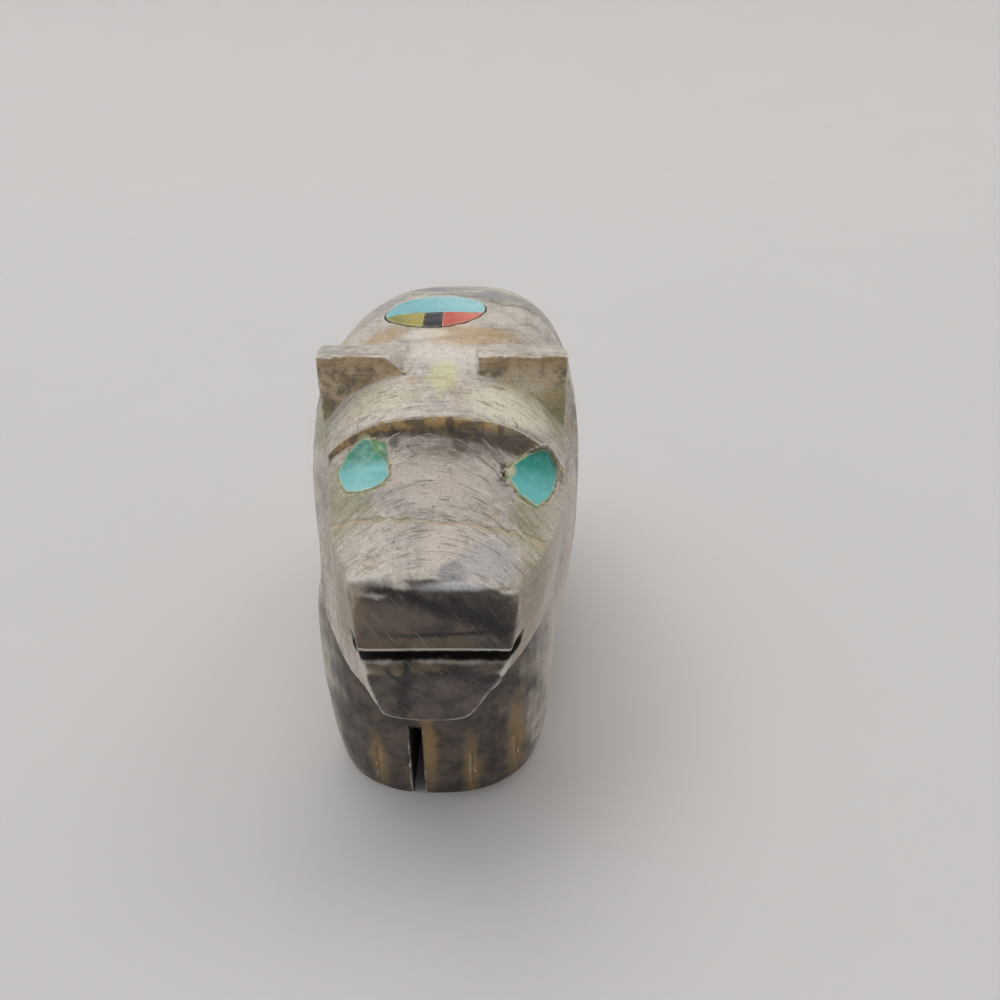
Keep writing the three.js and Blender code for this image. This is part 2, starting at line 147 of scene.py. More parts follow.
class Graph:
    """Adds nodes to one node tree and joins their sockets."""

    def __init__(self, tree: bpy.types.NodeTree) -> None:
        """Keeps the tree that the nodes go into."""
        self.tree = tree

    def fill(self, node: bpy.types.Node, values: Mapping[Any, Any]) -> None:
        """Gives a node its inputs.

        Args:
            node: A node of the tree.
            values: What goes into each input, by name or index: a socket is linked, and
                anything else becomes the input's own value.
        """
        for key, value in values.items():
            if isinstance(value, Socket):
                self.tree.links.new(value, node.inputs[key])
            else:
                node.inputs[key].default_value = value.linear if isinstance(value, Tint) else value

    def add(self, kind: str, values: Mapping[Any, Any], **settings: Any) -> bpy.types.Node:
        """Adds a node.

        Args:
            kind: The node's type.
            values: What goes into its inputs.
            **settings: The node's other properties.

        Returns:
            The new node.
        """
        node = self.tree.nodes.new(kind)
        for name, value in settings.items():
            setattr(node, name, value)
        self.fill(node, values)
        return node

    def math(self, operation: str, first: Any, second: Any = 0.0) -> Socket:
        """Returns the result of a Math node."""
        return self.add("ShaderNodeMath", {0: first, 1: second}, operation=operation).outputs[0]

    def vector(self, operation: str, first: Any, second: Any = (0, 0, 0)) -> bpy.types.Node:
        """Returns a Vector Math node."""
        return self.add("ShaderNodeVectorMath", {0: first, 1: second}, operation=operation)

    def combine(self, x: Any, y: Any, z: Any) -> Socket:
        """Returns a vector made of three numbers."""
        return self.add("ShaderNodeCombineXYZ", {0: x, 1: y, 2: z}).outputs[0]

    def split(self, at: Socket) -> Sequence[Socket]:
        """Returns a vector's three numbers."""
        return self.add("ShaderNodeSeparateXYZ", {0: at}).outputs

    def noise(self, at: Socket, period: float, detail: float = 3.0, rough: float = 0.55) -> Socket:
        """Returns noise from 0 to 1.

        Args:
            at: Where it is read, in millimetres.
            period: The size of its largest blotches, in millimetres.
            detail: How many finer layers lie on them.
            rough: How strong the finer layers are.

        Returns:
            The noise's value.
        """
        values = {"Vector": at, "Scale": 1 / period, "Detail": detail, "Roughness": rough}
        return self.add("ShaderNodeTexNoise", values).outputs[0]

    def wave(self, at: Socket, period: float, detail: float = 3.0, rough: float = 0.55) -> Socket:
        """Returns the same noise as it goes below and above 0, from -0.5 to 0.5."""
        return self.math("SUBTRACT", self.noise(at, period, detail, rough), 0.5)

    def rise(self, value: Any, low: Any, high: Any) -> Socket:
        """Returns a smooth step from 0 to 1 as the value goes from low to high."""
        values = {"Value": value, "From Min": low, "From Max": high}
        return self.add("ShaderNodeMapRange", values, interpolation_type="SMOOTHSTEP").outputs[0]

    def mix(self, share: Any, base: Any, over: Any) -> Socket:
        """Returns the second colour laid over the first by a share."""
        return self.add("ShaderNodeMix", {0: share, 6: base, 7: over}, data_type="RGBA").outputs[2]

    def overlay(self, colour: Any, over: Any, mask: Socket, strength: float) -> Socket:
        """Returns the first colour with the second laid over it by a mask's share and a strength."""
        return self.mix(self.math("MULTIPLY", mask, strength), colour, over)

    def blend(self, share: Any, low: Any, high: Any) -> Socket:
        """Returns a number between two numbers."""
        return self.add("ShaderNodeMix", {0: share, 2: low, 3: high}, data_type="FLOAT").outputs[0]

    def marked(self, mask: Mask) -> Socket:
        """Returns a mask that the mesh carries as an attribute."""
        return self.add("ShaderNodeAttribute", {}, attribute_name=mask.value).outputs["Fac"]

    def place(self) -> Socket:
        """Returns the point on the piece, in millimetres."""
        node = self.add("ShaderNodeTexCoord", {})
        return self.vector("MULTIPLY", node.outputs["Object"], (1 / MM,) * 3).outputs[0]

    def group(self, tree: bpy.types.NodeTree, values: Mapping[str, Any]) -> Socket:
        """Returns the first output of a node group."""
        return self.add("ShaderNodeGroup", values, node_tree=tree).outputs[0]

    def bump(self, height: Socket, strength: float, depth: float) -> Socket:
        """Returns the normals of a relief that is this deep, in millimetres, where its height is 1."""
        values = {"Strength": strength, "Distance": depth * MM, "Height": height}
        return self.add("ShaderNodeBump", values).outputs[0]

    def shade(self, values: Mapping[str, Any]) -> None:
        """Gives the material's own shader its inputs."""
        self.fill(self.tree.nodes["Principled BSDF"], values)


def new_material(name: str) -> tuple[bpy.types.Material, Graph]:
    """Starts a material.

    Args:
        name: The material's name.

    Returns:
        The material, which has its shader alone, and its graph.
    """
    made = bpy.data.materials.new(name)
    made.use_nodes = True
    return made, Graph(made.node_tree)


def new_group(name: str, inputs: Mapping[str, Any]) -> tuple[Graph, dict[str, Socket]]:
    """Starts a node group with one output, a value called Mask.

    Args:
        name: The group's name.
        inputs: Each input's name and its first value: a number, or three for a vector.

    Returns:
        The group's graph, and its inputs by name.
    """
    tree = bpy.data.node_groups.new(name, "ShaderNodeTree")
    for key, value in inputs.items():
        kind = "NodeSocketVector" if isinstance(value, tuple) else "NodeSocketFloat"
        socket = tree.interface.new_socket(key, in_out="INPUT", socket_type=kind)
        socket.default_value = value
    tree.interface.new_socket("Mask", in_out="OUTPUT", socket_type="NodeSocketFloat")
    source = tree.nodes.new("NodeGroupInput")
    return Graph(tree), {key: source.outputs[key] for key in inputs}


def close_group(graph: Graph, mask: Socket) -> bpy.types.NodeTree:
    """Joins a group's result to its output and returns its tree."""
    graph.add("NodeGroupOutput", {0: mask})
    return graph.tree


@cache
def patch_group() -> bpy.types.NodeTree:
    """Makes the group that masks a ragged round patch inside the stone.

    Returns:
        The group's tree.
    """
    start = {"Vector": (0, 0, 0), "Centre": (0, 0, 0), "Radii": (1, 1, 1), "Ragged": 0.5, "Soft": 0.2}
    graph, given = new_group("Ragged patch", start)
    offset = graph.vector("SUBTRACT", given["Vector"], given["Centre"]).outputs[0]
    scaled = graph.vector("DIVIDE", offset, given["Radii"]).outputs[0]
    distance = graph.vector("LENGTH", scaled).outputs["Value"]
    wobble = graph.wave(given["Vector"], 1.5, 6.0, 0.68)
    ragged = graph.math("ADD", distance, graph.math("MULTIPLY", wobble, given["Ragged"]))
    inner = graph.math("SUBTRACT", 1.0, given["Soft"])
    outer = graph.math("ADD", 1.0, given["Soft"])
    return close_group(graph, graph.rise(ragged, outer, inner))


@cache
def seam_group() -> bpy.types.NodeTree:
    """Makes the group that masks a thin wavy sheet through the stone, which shows as a vein.

    Returns:
        The group's tree.
    """
    start = {
        "Vector": (0, 0, 0),
        "Point": (0, 0, 0),
        "Across": (0, 0, 1),
        "Width": 0.2,
        "Waviness": 1.0,
        "Period": 4.0,
    }
    graph, given = new_group("Wavy seam", start)
    offset = graph.vector("SUBTRACT", given["Vector"], given["Point"]).outputs[0]
    across = graph.vector("NORMALIZE", given["Across"]).outputs[0]
    distance = graph.vector("DOT_PRODUCT", offset, across).outputs["Value"]
    scale = graph.math("DIVIDE", 1.0, given["Period"])
    values = {"Vector": given["Vector"], "Scale": scale, "Detail": 4.0, "Roughness": 0.55}
    wave = graph.math("SUBTRACT", graph.add("ShaderNodeTexNoise", values).outputs[0], 0.5)
    bent = graph.math("ADD", distance, graph.math("MULTIPLY", wave, given["Waviness"]))
    swell = graph.rise(graph.noise(given["Vector"], 1.3, 2.0), 0.3, 0.7)
    width = graph.math("MULTIPLY", given["Width"], graph.math("ADD", swell, 0.45))
    return close_group(graph, graph.rise(graph.math("ABSOLUTE", bent), width, 0.0))


@cache
def scratch_group() -> bpy.types.NodeTree:
    """Makes the group that masks one straight scratch between two points.

    Returns:
        The group's tree.
    """
    start = {"Vector": (0, 0, 0), "From": (0, 0, 0), "To": (1, 0, 0), "Width": 0.06}
    graph, given = new_group("Scratch", start)
    run = graph.vector("SUBTRACT", given["To"], given["From"]).outputs[0]
    offset = graph.vector("SUBTRACT", given["Vector"], given["From"]).outputs[0]
    along = graph.vector("DOT_PRODUCT", offset, run).outputs["Value"]
    whole = graph.vector("DOT_PRODUCT", run, run).outputs["Value"]
    share = graph.math("MINIMUM", graph.math("MAXIMUM", graph.math("DIVIDE", along, whole), 0.0), 1.0)
    scale = graph.add("ShaderNodeVectorMath", {0: run, "Scale": share}, operation="SCALE").outputs[0]
    away = graph.vector("SUBTRACT", offset, scale).outputs[0]
    distance = graph.vector("LENGTH", away).outputs["Value"]
    swell = graph.math("ADD", graph.noise(given["Vector"], 0.3, 2.0), 0.3)
    return close_group(graph, graph.rise(distance, graph.math("MULTIPLY", given["Width"], swell), 0.0))


@cache
def streak_group() -> bpy.types.NodeTree:
    """Makes the group of long thin streaks, as grinding leaves them.

    Returns:
        The group's tree.
    """
    start = {"Along": 0.0, "Across": 0.0, "Run": 6.0, "Pitch": 0.15, "Batch": 0.0}
    graph, given = new_group("Grinding streaks", start)
    along = graph.math("DIVIDE", given["Along"], given["Run"])
    across = graph.math("DIVIDE", given["Across"], given["Pitch"])
    at = graph.combine(along, across, given["Batch"])
    values = {"Vector": at, "Scale": 1.0, "Detail": 3.0, "Roughness": 0.6}
    return close_group(graph, graph.add("ShaderNodeTexNoise", values).outputs[0])


# Finishes


@dataclass(frozen=True)
class Cloud:
    """Blotches of another colour all through the stone.

    Attributes:
        offset: How far away its noise is read, which keeps it apart from the other clouds.
        period: The size of its largest blotches.
        detail: How many finer layers lie on them.
        rough: How strong the finer layers are.
        low: The noise's value where it starts to show.
        high: The value where it shows fully.
        tint: Its colour.
        strength: How much of the colour shows.
    """

    offset: Triple
    period: float
    detail: float
    rough: float
    low: float
    high: float
    tint: Tint
    strength: float

    def mask(self, graph: Graph, at: Socket) -> Socket:
        """Returns where it shows, from 0 to 1."""
        apart = graph.vector("ADD", at, self.offset).outputs[0]
        return graph.rise(graph.noise(apart, self.period, self.detail, self.rough), self.low, self.high)


@dataclass(frozen=True)
class Patch:
    """A ragged patch of another colour in the stone."""

    centre: Triple
    radii: Triple
    tint: Tint
    strength: float = 1.0
    ragged: float = 0.9
    soft: float = 0.25

    def mask(self, graph: Graph, at: Socket) -> Socket:
        """Returns where it shows, from 0 to 1."""
        values = {"Vector": at, "Centre": self.centre, "Radii": self.radii}
        return graph.group(patch_group(), values | {"Ragged": self.ragged, "Soft": self.soft})


@dataclass(frozen=True)
class Seam:
    """A vein: a thin wavy sheet of another colour, kept to a round stretch of the stone."""

    point: Triple
    across: Triple
    tint: Tint
    width: float = 0.2
    reach: Triple = (6.0, 6.0, 6.0)
    waviness: float = 1.2
    strength: float = 0.9

    def mask(self, graph: Graph, at: Socket) -> Socket:
        """Returns where it shows.

        Args:
            graph: The material's graph.
            at: The point on the piece, in millimetres.

        Returns:
            A share from 0 to 1.
        """
        values = {"Vector": at, "Point": self.point, "Across": self.across}
        sheet = graph.group(seam_group(), values | {"Width": self.width, "Waviness": self.waviness})
        stretch = Patch(self.point, self.reach, self.tint, ragged=0.4, soft=0.3)
        return graph.math("MULTIPLY", sheet, stretch.mask(graph, at))


@dataclass(frozen=True)
class Scratch:
    """A straight scratch from one point to another, which shows pale or dark."""

    start: Triple
    end: Triple
    tint: Tint
    width: float = 0.09
    strength: float = 0.8

    def mask(self, graph: Graph, at: Socket) -> Socket:
        """Returns where it shows, from 0 to 1."""
        values = {"Vector": at, "From": self.start, "To": self.end, "Width": self.width}
        return graph.group(scratch_group(), values)


Mark = Cloud | Patch | Seam | Scratch


def lay_over(graph: Graph, at: Socket, colour: Socket, marks: Sequence[Mark]) -> Socket:
    """Lays marks over a colour, one after another.

    Args:
        graph: The material's graph.
        at: The point on the piece, in millimetres.
        colour: The colour below.
        marks: What is laid over it.

    Returns:
        The colour with all of them.
    """
    for mark in marks:
        colour = graph.overlay(colour, mark.tint, mark.mask(graph, at), mark.strength)
    return colour


@dataclass(frozen=True)
class Wheel:
    """One way of grinding: how long its streaks are, how far apart, and which noise makes them."""

    run: float
    pitch: float
    batch: float

    def streaks(self, graph: Graph, along: Socket, across: Socket) -> Socket:
        """Returns its streaks, from 0 to 1, for a place along and across them."""
        values = {"Along": along, "Across": across, "Run": self.run, "Pitch": self.pitch}
        return graph.group(streak_group(), values | {"Batch": self.batch})


HEAD_FINE = Wheel(1.5, 0.1, 1.0)
HEAD_COARSE = Wheel(3.0, 0.4, 4.0)
SAWN_FRONT = Wheel(3.2, 0.2, 2.0)
BODY_FLAT = Wheel(5.0, 0.25, 3.0)
POLISH = Wheel(3.0, 0.12, 5.0)

CREAM = Tint(207, 199, 188)
GREY = Tint(160, 155, 149)
PINK = Tint(214, 202, 192)
TAN = Tint(186, 166, 136)
OLIVE = Tint(152, 150, 112)
BROWN = Tint(138, 120, 94)
UMBER = Tint(92, 82, 74)
DARK_GREY = Tint(46, 42, 40)
OCHRE = Tint(182, 146, 92)
GOLD = Tint(192, 158, 92)
SLATE = Tint(134, 135, 140)
INK = Tint(16, 14, 16)
LIME = Tint(206, 204, 152)
BONE = Tint(232, 225, 213)
DIRT = Tint(98, 84, 68)

STONE_PATCHES = (
    Patch((0.55, -17.6, 41.6), (1.3, 2.3, 1.5), LIME, 0.85, 1.9, 0.35),
    Patch((0.2, -14.8, 43.0), (2.6, 1.9, 1.0), BONE, 0.55, 1.5, 0.4),
    Patch((11.4, -17.5, 38.2), (2.4, 3.0, 2.6), OLIVE, 0.75),
    Patch((-11.2, -17.0, 36.8), (2.2, 4.0, 2.6), OLIVE, 0.6),
    Patch((-4.5, -19.5, 40.0), (4.2, 1.6, 1.6), LIME, 0.3, 1.2, 0.5),
    Patch((7.3, -19.8, 39.6), (4.3, 2.6, 2.4), Tint(220, 213, 190), 0.95, 1.2, 0.4),
    Patch((1.4, -22.6, 38.8), (0.45, 0.9, 0.8), DARK_GREY, 0.75, 1.4),
    Patch((-3.4, -22.9, 38.0), (0.5, 1.2, 0.9), DARK_GREY, 0.7, 1.4),
    Patch((5.7, -22.9, 38.2), (0.4, 1.2, 0.8), DARK_GREY, 0.7, 1.4),
    Patch((2.3, -22.8, 37.5), (0.7, 0.9, 0.8), DARK_GREY, 0.6, 1.4),
    Patch((0.6, -23.0, 37.5), (7.6, 1.0, 1.6), UMBER, 0.4, 2.4, 0.6),
    Patch((7.2, -22.4, 37.4), (2.6, 0.9, 1.4), UMBER, 0.6, 1.4, 0.5),
    Patch((-9.8, -22.2, 35.4), (1.2, 0.9, 1.0), DARK_GREY, 0.5, 1.6),
    Patch((-8.6, -26.4, 32.8), (3.0, 5.0, 3.0), OLIVE, 0.6, 1.2, 0.5),
    Patch((9.2, -26.6, 31.4), (2.4, 4.6, 3.0), OLIVE, 0.55, 1.2, 0.5),
    Patch((1.0, -29.6, 31.4), (1.6, 3.0, 1.5), PINK, 0.9, 0.6, 0.4),
    Patch((0.9, -25.3, 34.8), (4.4, 2.4, 1.8), PINK, 0.75, 1.5, 0.4),
    Patch((-9.4, -21.2, 38.8), (1.8, 1.6, 1.4), BONE, 0.5, 1.2, 0.4),
    Patch((10.8, -26.0, 28.2), (1.6, 5.0, 5.0), CREAM, 0.6, 1.4, 0.5),
    Patch((12.2, -16.5, 12.5), (3.0, 6.5, 9.0), CREAM, 0.75, 1.4, 0.5),
    Patch((10.3, -22.3, 35.6), (0.9, 1.0, 1.2), Tint(150, 118, 84), 0.5, 1.6),
    Patch((1.9, -31.6, 30.0), (1.2, 1.0, 1.2), SLATE, 0.75, 1.3),
    Patch((4.9, -30.4, 30.3), (2.5, 1.7, 1.5), Tint(186, 182, 182), 0.8),
    # A painted highlight: the bluish-white glint on the top edge of the nose.
    Patch((2.0, -32.5, 29.35), (3.4, 0.4, 0.3), Tint(222, 222, 228), 0.5, 1.6, 0.6),
    Patch((-5.0, -32.5, 29.4), (3.2, 0.9, 0.9), BONE, 0.65, 1.5),
    Patch((-6.6, -33.0, 27.4), (1.5, 0.9, 3.0), BROWN, 0.75, 1.0, 0.5),
    Patch((5.1, -33.6, 26.9), (1.7, 0.9, 1.2), INK, 0.7, 1.6, 0.4),
    Patch((-2.6, -33.4, 27.0), (3.4, 0.9, 1.2), Tint(112, 98, 90), 0.5, 1.8, 0.5),
    Patch((3.0, -33.4, 27.8), (3.6, 0.9, 0.9), DARK_GREY, 0.6, 1.4, 0.4),
    Patch((6.2, -24.3, 35.0), (0.8, 1.1, 1.0), DARK_GREY, 0.7, 1.8),
    Patch((-8.0, -30.2, 25.8), (2.2, 4.2, 4.6), Tint(152, 136, 112), 0.6, 1.8, 0.5),
    Patch((8.2, -29.9, 25.4), (2.2, 4.2, 4.6), Tint(158, 142, 120), 0.6, 1.8, 0.5),
    Patch((2.6, -12.4, 43.8), (4.2, 1.6, 2.0), OCHRE, 0.7, 1.5, 0.5),
    Patch((-1.2, -12.2, 43.8), (2.2, 0.8, 2.0), BONE, 0.6, 1.2, 0.4),
    Patch((-5.4, -11.6, 43.4), (2.2, 1.2, 2.0), OCHRE, 0.55, 1.4, 0.5),
    Patch((-1.0, 3.4, 44.5), (3.6, 2.2, 3.0), SLATE, 0.7, 2.2, 0.4),
    Patch((5.2, 0.4, 44.4), (2.4, 2.6, 3.0), SLATE, 0.65, 2.2, 0.4),
    Patch((-6.0, -1.0, 44.0), (2.2, 2.0, 3.0), SLATE, 0.6, 2.2, 0.4),
    Patch((12.2, 0.6, 40.0), (2.6, 6.0, 5.0), SLATE, 0.5, 2.2, 0.5),
    Patch((-1.6, -34.0, 24.7), (5.5, 1.5, 0.6), Tint(112, 96, 72), 0.6, 1.8, 0.4),
    Patch((-2.4, -33.2, 21.5), (3.8, 1.4, 0.6), Tint(128, 112, 84), 0.7, 1.8),
    Patch((-6.6, -26.4, 4.0), (0.8, 3.0, 3.4), GOLD, 0.42, 2.2, 0.8),
    Patch((2.85, -26.8, 3.8), (0.8, 3.0, 3.4), GOLD, 0.42, 2.2, 0.8),
    Patch((7.3, -25.4, 5.6), (0.8, 3.0, 5.0), GOLD, 0.42, 2.2, 0.8),
    Patch((-1.4, -27.5, 6.8), (0.8, 3.0, 4.6), GOLD, 0.48, 2.2, 0.8),
)

STONE_SEAMS = (
    Seam((0.0, -28.0, 32.6), (0.03, 1.0, 0.1), TAN, 0.34, (14, 5, 8), 1.4, 0.85),
    Seam((1.0, -27.8, 32.6), (0.03, 1.0, 0.2), Tint(120, 106, 74), 0.13, (9, 3, 8), 2.4, 0.6),
    Seam((0.5, -33.2, 27.9), (0.36, 0.0, 1.0), INK, 1.15, (7, 2.0, 4), 1.6, 1.0),
    Seam((3.8, -33.4, 27.0), (0.75, 0.0, 1.0), INK, 0.8, (3.4, 2.0, 3.4), 1.6, 0.85),
    Seam((2.5, -33.6, 25.6), (-0.06, 0.0, 1.0), INK, 0.34, (5, 1.6, 2), 0.6, 0.9),
    Seam((-2.6, -33.0, 18.0), (1.0, 0.0, -0.12), INK, 1.4, (3, 2.8, 6.0), 1.9, 1.0),
    Seam((-3.2, -33.0, 20.6), (0.8, 0.0, 0.6), INK, 0.5, (1.6, 2.0, 1.4), 1.2, 0.85),
    Seam((3.0, -33.0, 20.6), (0.2, 0.0, 1.0), INK, 1.2, (4.2, 2.8, 2), 2.6, 1.0),
    Seam((7.0, 6.0, 30.0), (0.35, 0.8, 0.5), UMBER, 0.5, (40, 40, 40), 6.0, 0.6),
    Seam((-6.0, 20.0, 25.0), (0.5, 0.7, -0.4), UMBER, 0.4, (40, 40, 40), 6.5, 0.6),
    Seam((0.0, 12.0, 20.0), (0.1, 0.55, 0.8), OCHRE, 0.6, (40, 40, 40), 7.0, 0.5),
    Seam((0.0, -6.0, 16.0), (0.6, -0.6, 0.5), DARK_GREY, 0.25, (40, 40, 40), 5.0, 0.6),
)

STONE_SCRATCHES = (
    Scratch((-3.3, -24.7, 36.0), (-1.6, -24.3, 36.3), BONE, 0.1, 0.9),
    Scratch((-2.2, -23.2, 37.3), (-1.5, -23.8, 36.8), DARK_GREY, 0.12, 0.7),
    Scratch((-1.5, -23.8, 36.8), (-1.1, -23.3, 37.3), DARK_GREY, 0.12, 0.7),
    Scratch((-1.1, -23.3, 37.3), (-2.2, -23.2, 37.3), DARK_GREY, 0.1, 0.6),
    Scratch((1.9, -23.0, 37.7), (5.4, -22.9, 37.3), BONE, 0.13, 0.8),
    Scratch((2.6, -23.4, 37.3), (4.6, -23.4, 37.1), BONE, 0.11, 0.7),
    Scratch((-3.9, -22.4, 38.2), (0.2, -22.4, 38.6), BONE, 0.12, 0.7),
    Scratch((2.4, -22.4, 38.5), (5.2, -22.4, 38.0), BONE, 0.11, 0.7),
    Scratch((-6.6, -28.9, 31.8), (-4.8, -28.2, 32.5), BONE, 0.08, 0.6),
    Scratch((6.9, -29.6, 29.9), (8.3, -28.2, 30.7), BONE, 0.08, 0.6),
)

STONE_CLOUDS = (
    Cloud((31.0, 7.0, 13.0), 5.0, 4.0, 0.55, 0.45, 0.68, PINK, 0.7),
    Cloud((3.0, 47.0, 21.0), 3.2, 6.0, 0.7, 0.5, 0.7, TAN, 0.6),
    Cloud((17.0, 27.0, 5.0), 4.4, 4.0, 0.55, 0.55, 0.75, OLIVE, 0.4),
    Cloud((17.0, 27.0, 5.0), 1.6, 6.0, 0.74, 0.54, 0.74, UMBER, 0.5),
    Cloud((9.0, 3.0, 41.0), 0.8, 6.0, 0.75, 0.5, 0.66, Tint(122, 114, 94), 0.5),
    Cloud((9.0, 3.0, 41.0), 0.8, 6.0, 0.75, 0.48, 0.34, BONE, 0.4),
)

STONE_GRIT = (
    Cloud((0.0, 0.0, 0.0), 0.22, 3.0, 0.6, 0.45, 0.7, DIRT, 0.22),
    Cloud((0.0, 0.0, 0.0), 0.3, 2.0, 0.5, 0.65, 0.72, DIRT, 0.55),
)


@dataclass(frozen=True)
class VeinedStone:
    """The bear's own stone: cream and grey marble, dark where the saw opened its darker layers."""

    name: str = "Veined stone"
    roughness: float = 0.42
    lip_z: float = LIP_Z + KERF / 2 - LIP_DROP
    clouds: tuple[Cloud, ...] = STONE_CLOUDS
    patches: tuple[Patch, ...] = STONE_PATCHES
    seams: tuple[Seam, ...] = STONE_SEAMS
    grit: tuple[Cloud, ...] = STONE_GRIT
    scratches: tuple[Scratch, ...] = STONE_SCRATCHES

    def front_depth(self, graph: Graph, parts: Sequence[Socket]) -> Socket:
        """Measures how far a point lies behind the plane of the nose and the chin.

        Args:
            graph: The material's graph.
            parts: The point's three numbers.

        Returns:
            The distance in millimetres.
        """
        rise = graph.math("SUBTRACT", parts[2], LIP_Z)
        over = graph.math("MULTIPLY", rise, NOSE_BACK / NOSE_HEIGHT)
        under = graph.math("MULTIPLY", rise, -CHIN_BACK / CHIN_HEIGHT)
        front = graph.math("ADD", graph.math("MAXIMUM", over, under), FRONT_Y)
        return graph.math("SUBTRACT", parts[1], front)

    def near_plane(self, graph: Graph, y: Socket, at_y: float, wave: Socket) -> Socket:
        """Masks the upright face that a step leaves at one place along the bear.

        Args:
            graph: The material's graph.
            y: The point's place along the bear.
            at_y: Where the step is.
            wave: What makes the mask's front edge ragged.

        Returns:
            A share from 0 to 1, which is 1 on the face.
        """
        ragged = graph.math("ADD", y, graph.math("MULTIPLY", wave, 0.35))
        before = graph.rise(ragged, at_y - 0.55, at_y - 0.25)
        behind = graph.rise(y, at_y + 0.2, at_y + 0.05)
        on_face = graph.math("MULTIPLY", before, behind)
        return graph.math("MULTIPLY", on_face, graph.marked(Mask.CUT_FACE))

    def front_layer(self, graph: Graph, at: Socket, wave: Socket, colour: Socket) -> Socket:
        """Lays the dark layer of the nose, the chin and the chest over the stone.

        Args:
            graph: The material's graph.
            at: The point on the piece, in millimetres.
            wave: What makes the layer's edge ragged.
            colour: The colour below.

        Returns:
            The new colour.
        """
        blotched = graph.rise(graph.noise(at, 1.8, 5.0, 0.65), 0.36, 0.64)
        dark = graph.mix(blotched, Tint(90, 78, 71), Tint(40, 36, 36))
        lighter = graph.rise(graph.noise(at, 3.1, 5.0, 0.65), 0.5, 0.72)
        dark = graph.overlay(dark, Tint(120, 104, 84), lighter, 0.35)
        depth = self.front_depth(graph, graph.split(at))
        depth = graph.math("ADD", depth, graph.math("MULTIPLY", wave, 0.5))
        face = graph.rise(depth, 0.6, 0.25)
        shown = graph.math("MAXIMUM", face, graph.marked(Mask.CHEST))
        return graph.overlay(colour, dark, shown, 0.97)

    def brow_layer(self, graph: Graph, at: Socket, wave: Socket, colour: Socket) -> Socket:
        """Lays the dark band and the golden line over the step under the brow.

        Args:
            graph: The material's graph.
            at: The point on the piece, in millimetres.
            wave: What makes the edges ragged.
            colour: The colour below.

        Returns:
            The new colour.
        """
        parts = graph.split(at)
        side = graph.math("DIVIDE", graph.math("SUBTRACT", parts[0], HEAD_X), BROW_REACH)
        cubed = graph.math("POWER", graph.math("ABSOLUTE", side), 3.0)
        sunk = graph.math("MULTIPLY", cubed, BROW_SAG)
        drop = graph.math("SUBTRACT", graph.math("SUBTRACT", BROW_Z + 0.1, sunk), parts[2])
        drop = graph.math("ADD", drop, graph.math("MULTIPLY", wave, 0.8))
        fine = graph.rise(graph.noise(at, 0.8, 6.0, 0.7), 0.38, 0.62)
        band = graph.mix(fine, Tint(128, 108, 76), Tint(56, 50, 44))
        blotched = graph.rise(graph.noise(at, 1.9, 5.0, 0.6), 0.47, 0.6)
        line = graph.mix(blotched, GOLD, Tint(116, 94, 62))
        band = graph.mix(graph.rise(drop, 1.35, 0.85), band, line)
        return graph.overlay(colour, band, self.near_plane(graph, parts[1], STEP_Y, wave), 0.95)

    def ear_layer(self, graph: Graph, at: Socket, wave: Socket, colour: Socket) -> Socket:
        """Lays the tan and ochre of the ears' fronts over the stone.

        Args:
            graph: The material's graph.
            at: The point on the piece, in millimetres.
            wave: What makes the edges ragged.
            colour: The colour below.

        Returns:
            The new colour.
        """
        parts = graph.split(at)
        blotched = graph.rise(graph.noise(at, 2.4, 6.0, 0.7), 0.42, 0.62)
        ear = graph.mix(blotched, Tint(197, 177, 145), Tint(106, 92, 71))
        ear = graph.overlay(ear, OCHRE, graph.rise(parts[2], 41.9, 42.8), 0.55)
        return graph.overlay(colour, ear, self.near_plane(graph, parts[1], EAR_Y, wave), 0.9)

    def mouth(self, graph: Graph, at: Socket, colour: Socket) -> tuple[Socket, Socket]:
        """Lays painted shade and soiling into the sawn mouth and leg slot, and a painted highlight over
        the mouth.

        Args:
            graph: The material's graph.
            at: The point on the piece, in millimetres.
            colour: The colour below.

        Returns:
            The new colour, and where the painted shade and soiling are, from 0 to 1.
        """
        parts = graph.split(at)
        ragged = graph.math("ADD", parts[2], graph.math("MULTIPLY", graph.wave(at, 0.9, 5.0, 0.65), 0.7))
        low = graph.rise(ragged, LIP_Z - KERF / 2 - 1.35, LIP_Z - KERF / 2 - 0.95)
        high = graph.rise(parts[2], self.lip_z - 0.02, self.lip_z - 0.12)
        front = graph.rise(parts[1], NOSE_Y + 2.1, NOSE_Y + 1.8)
        kerf = graph.math("MULTIPLY", graph.math("MULTIPLY", low, high), front)
        side = graph.math("ABSOLUTE", graph.math("SUBTRACT", parts[0], SLOT_X))
        slot = graph.math("MULTIPLY", graph.rise(side, 0.75, 0.6), graph.rise(parts[2], 9.9, 9.4))
        slot = graph.math("MULTIPLY", slot, graph.rise(parts[1], NOSE_Y + 22, NOSE_Y + 20))
        grime_and_shade = graph.math("MAXIMUM", kerf, slot)
        # Near black painted shade, with some soiling, deep in the kerf and the leg slot where little
        # light reaches.
        colour = graph.overlay(colour, Tint(12, 10, 9), grime_and_shade, 0.97)
        # A pale line painted as a highlight along the upper lip's lower edge.
        under = graph.rise(parts[2], self.lip_z - 0.06, self.lip_z + 0.02)
        line = graph.math("MULTIPLY", under, graph.rise(parts[2], self.lip_z + 0.16, self.lip_z + 0.08))
        line = graph.math("MULTIPLY", line, graph.rise(self.front_depth(graph, parts), 0.5, 0.3))
        return graph.overlay(colour, BONE, line, 0.65), grime_and_shade

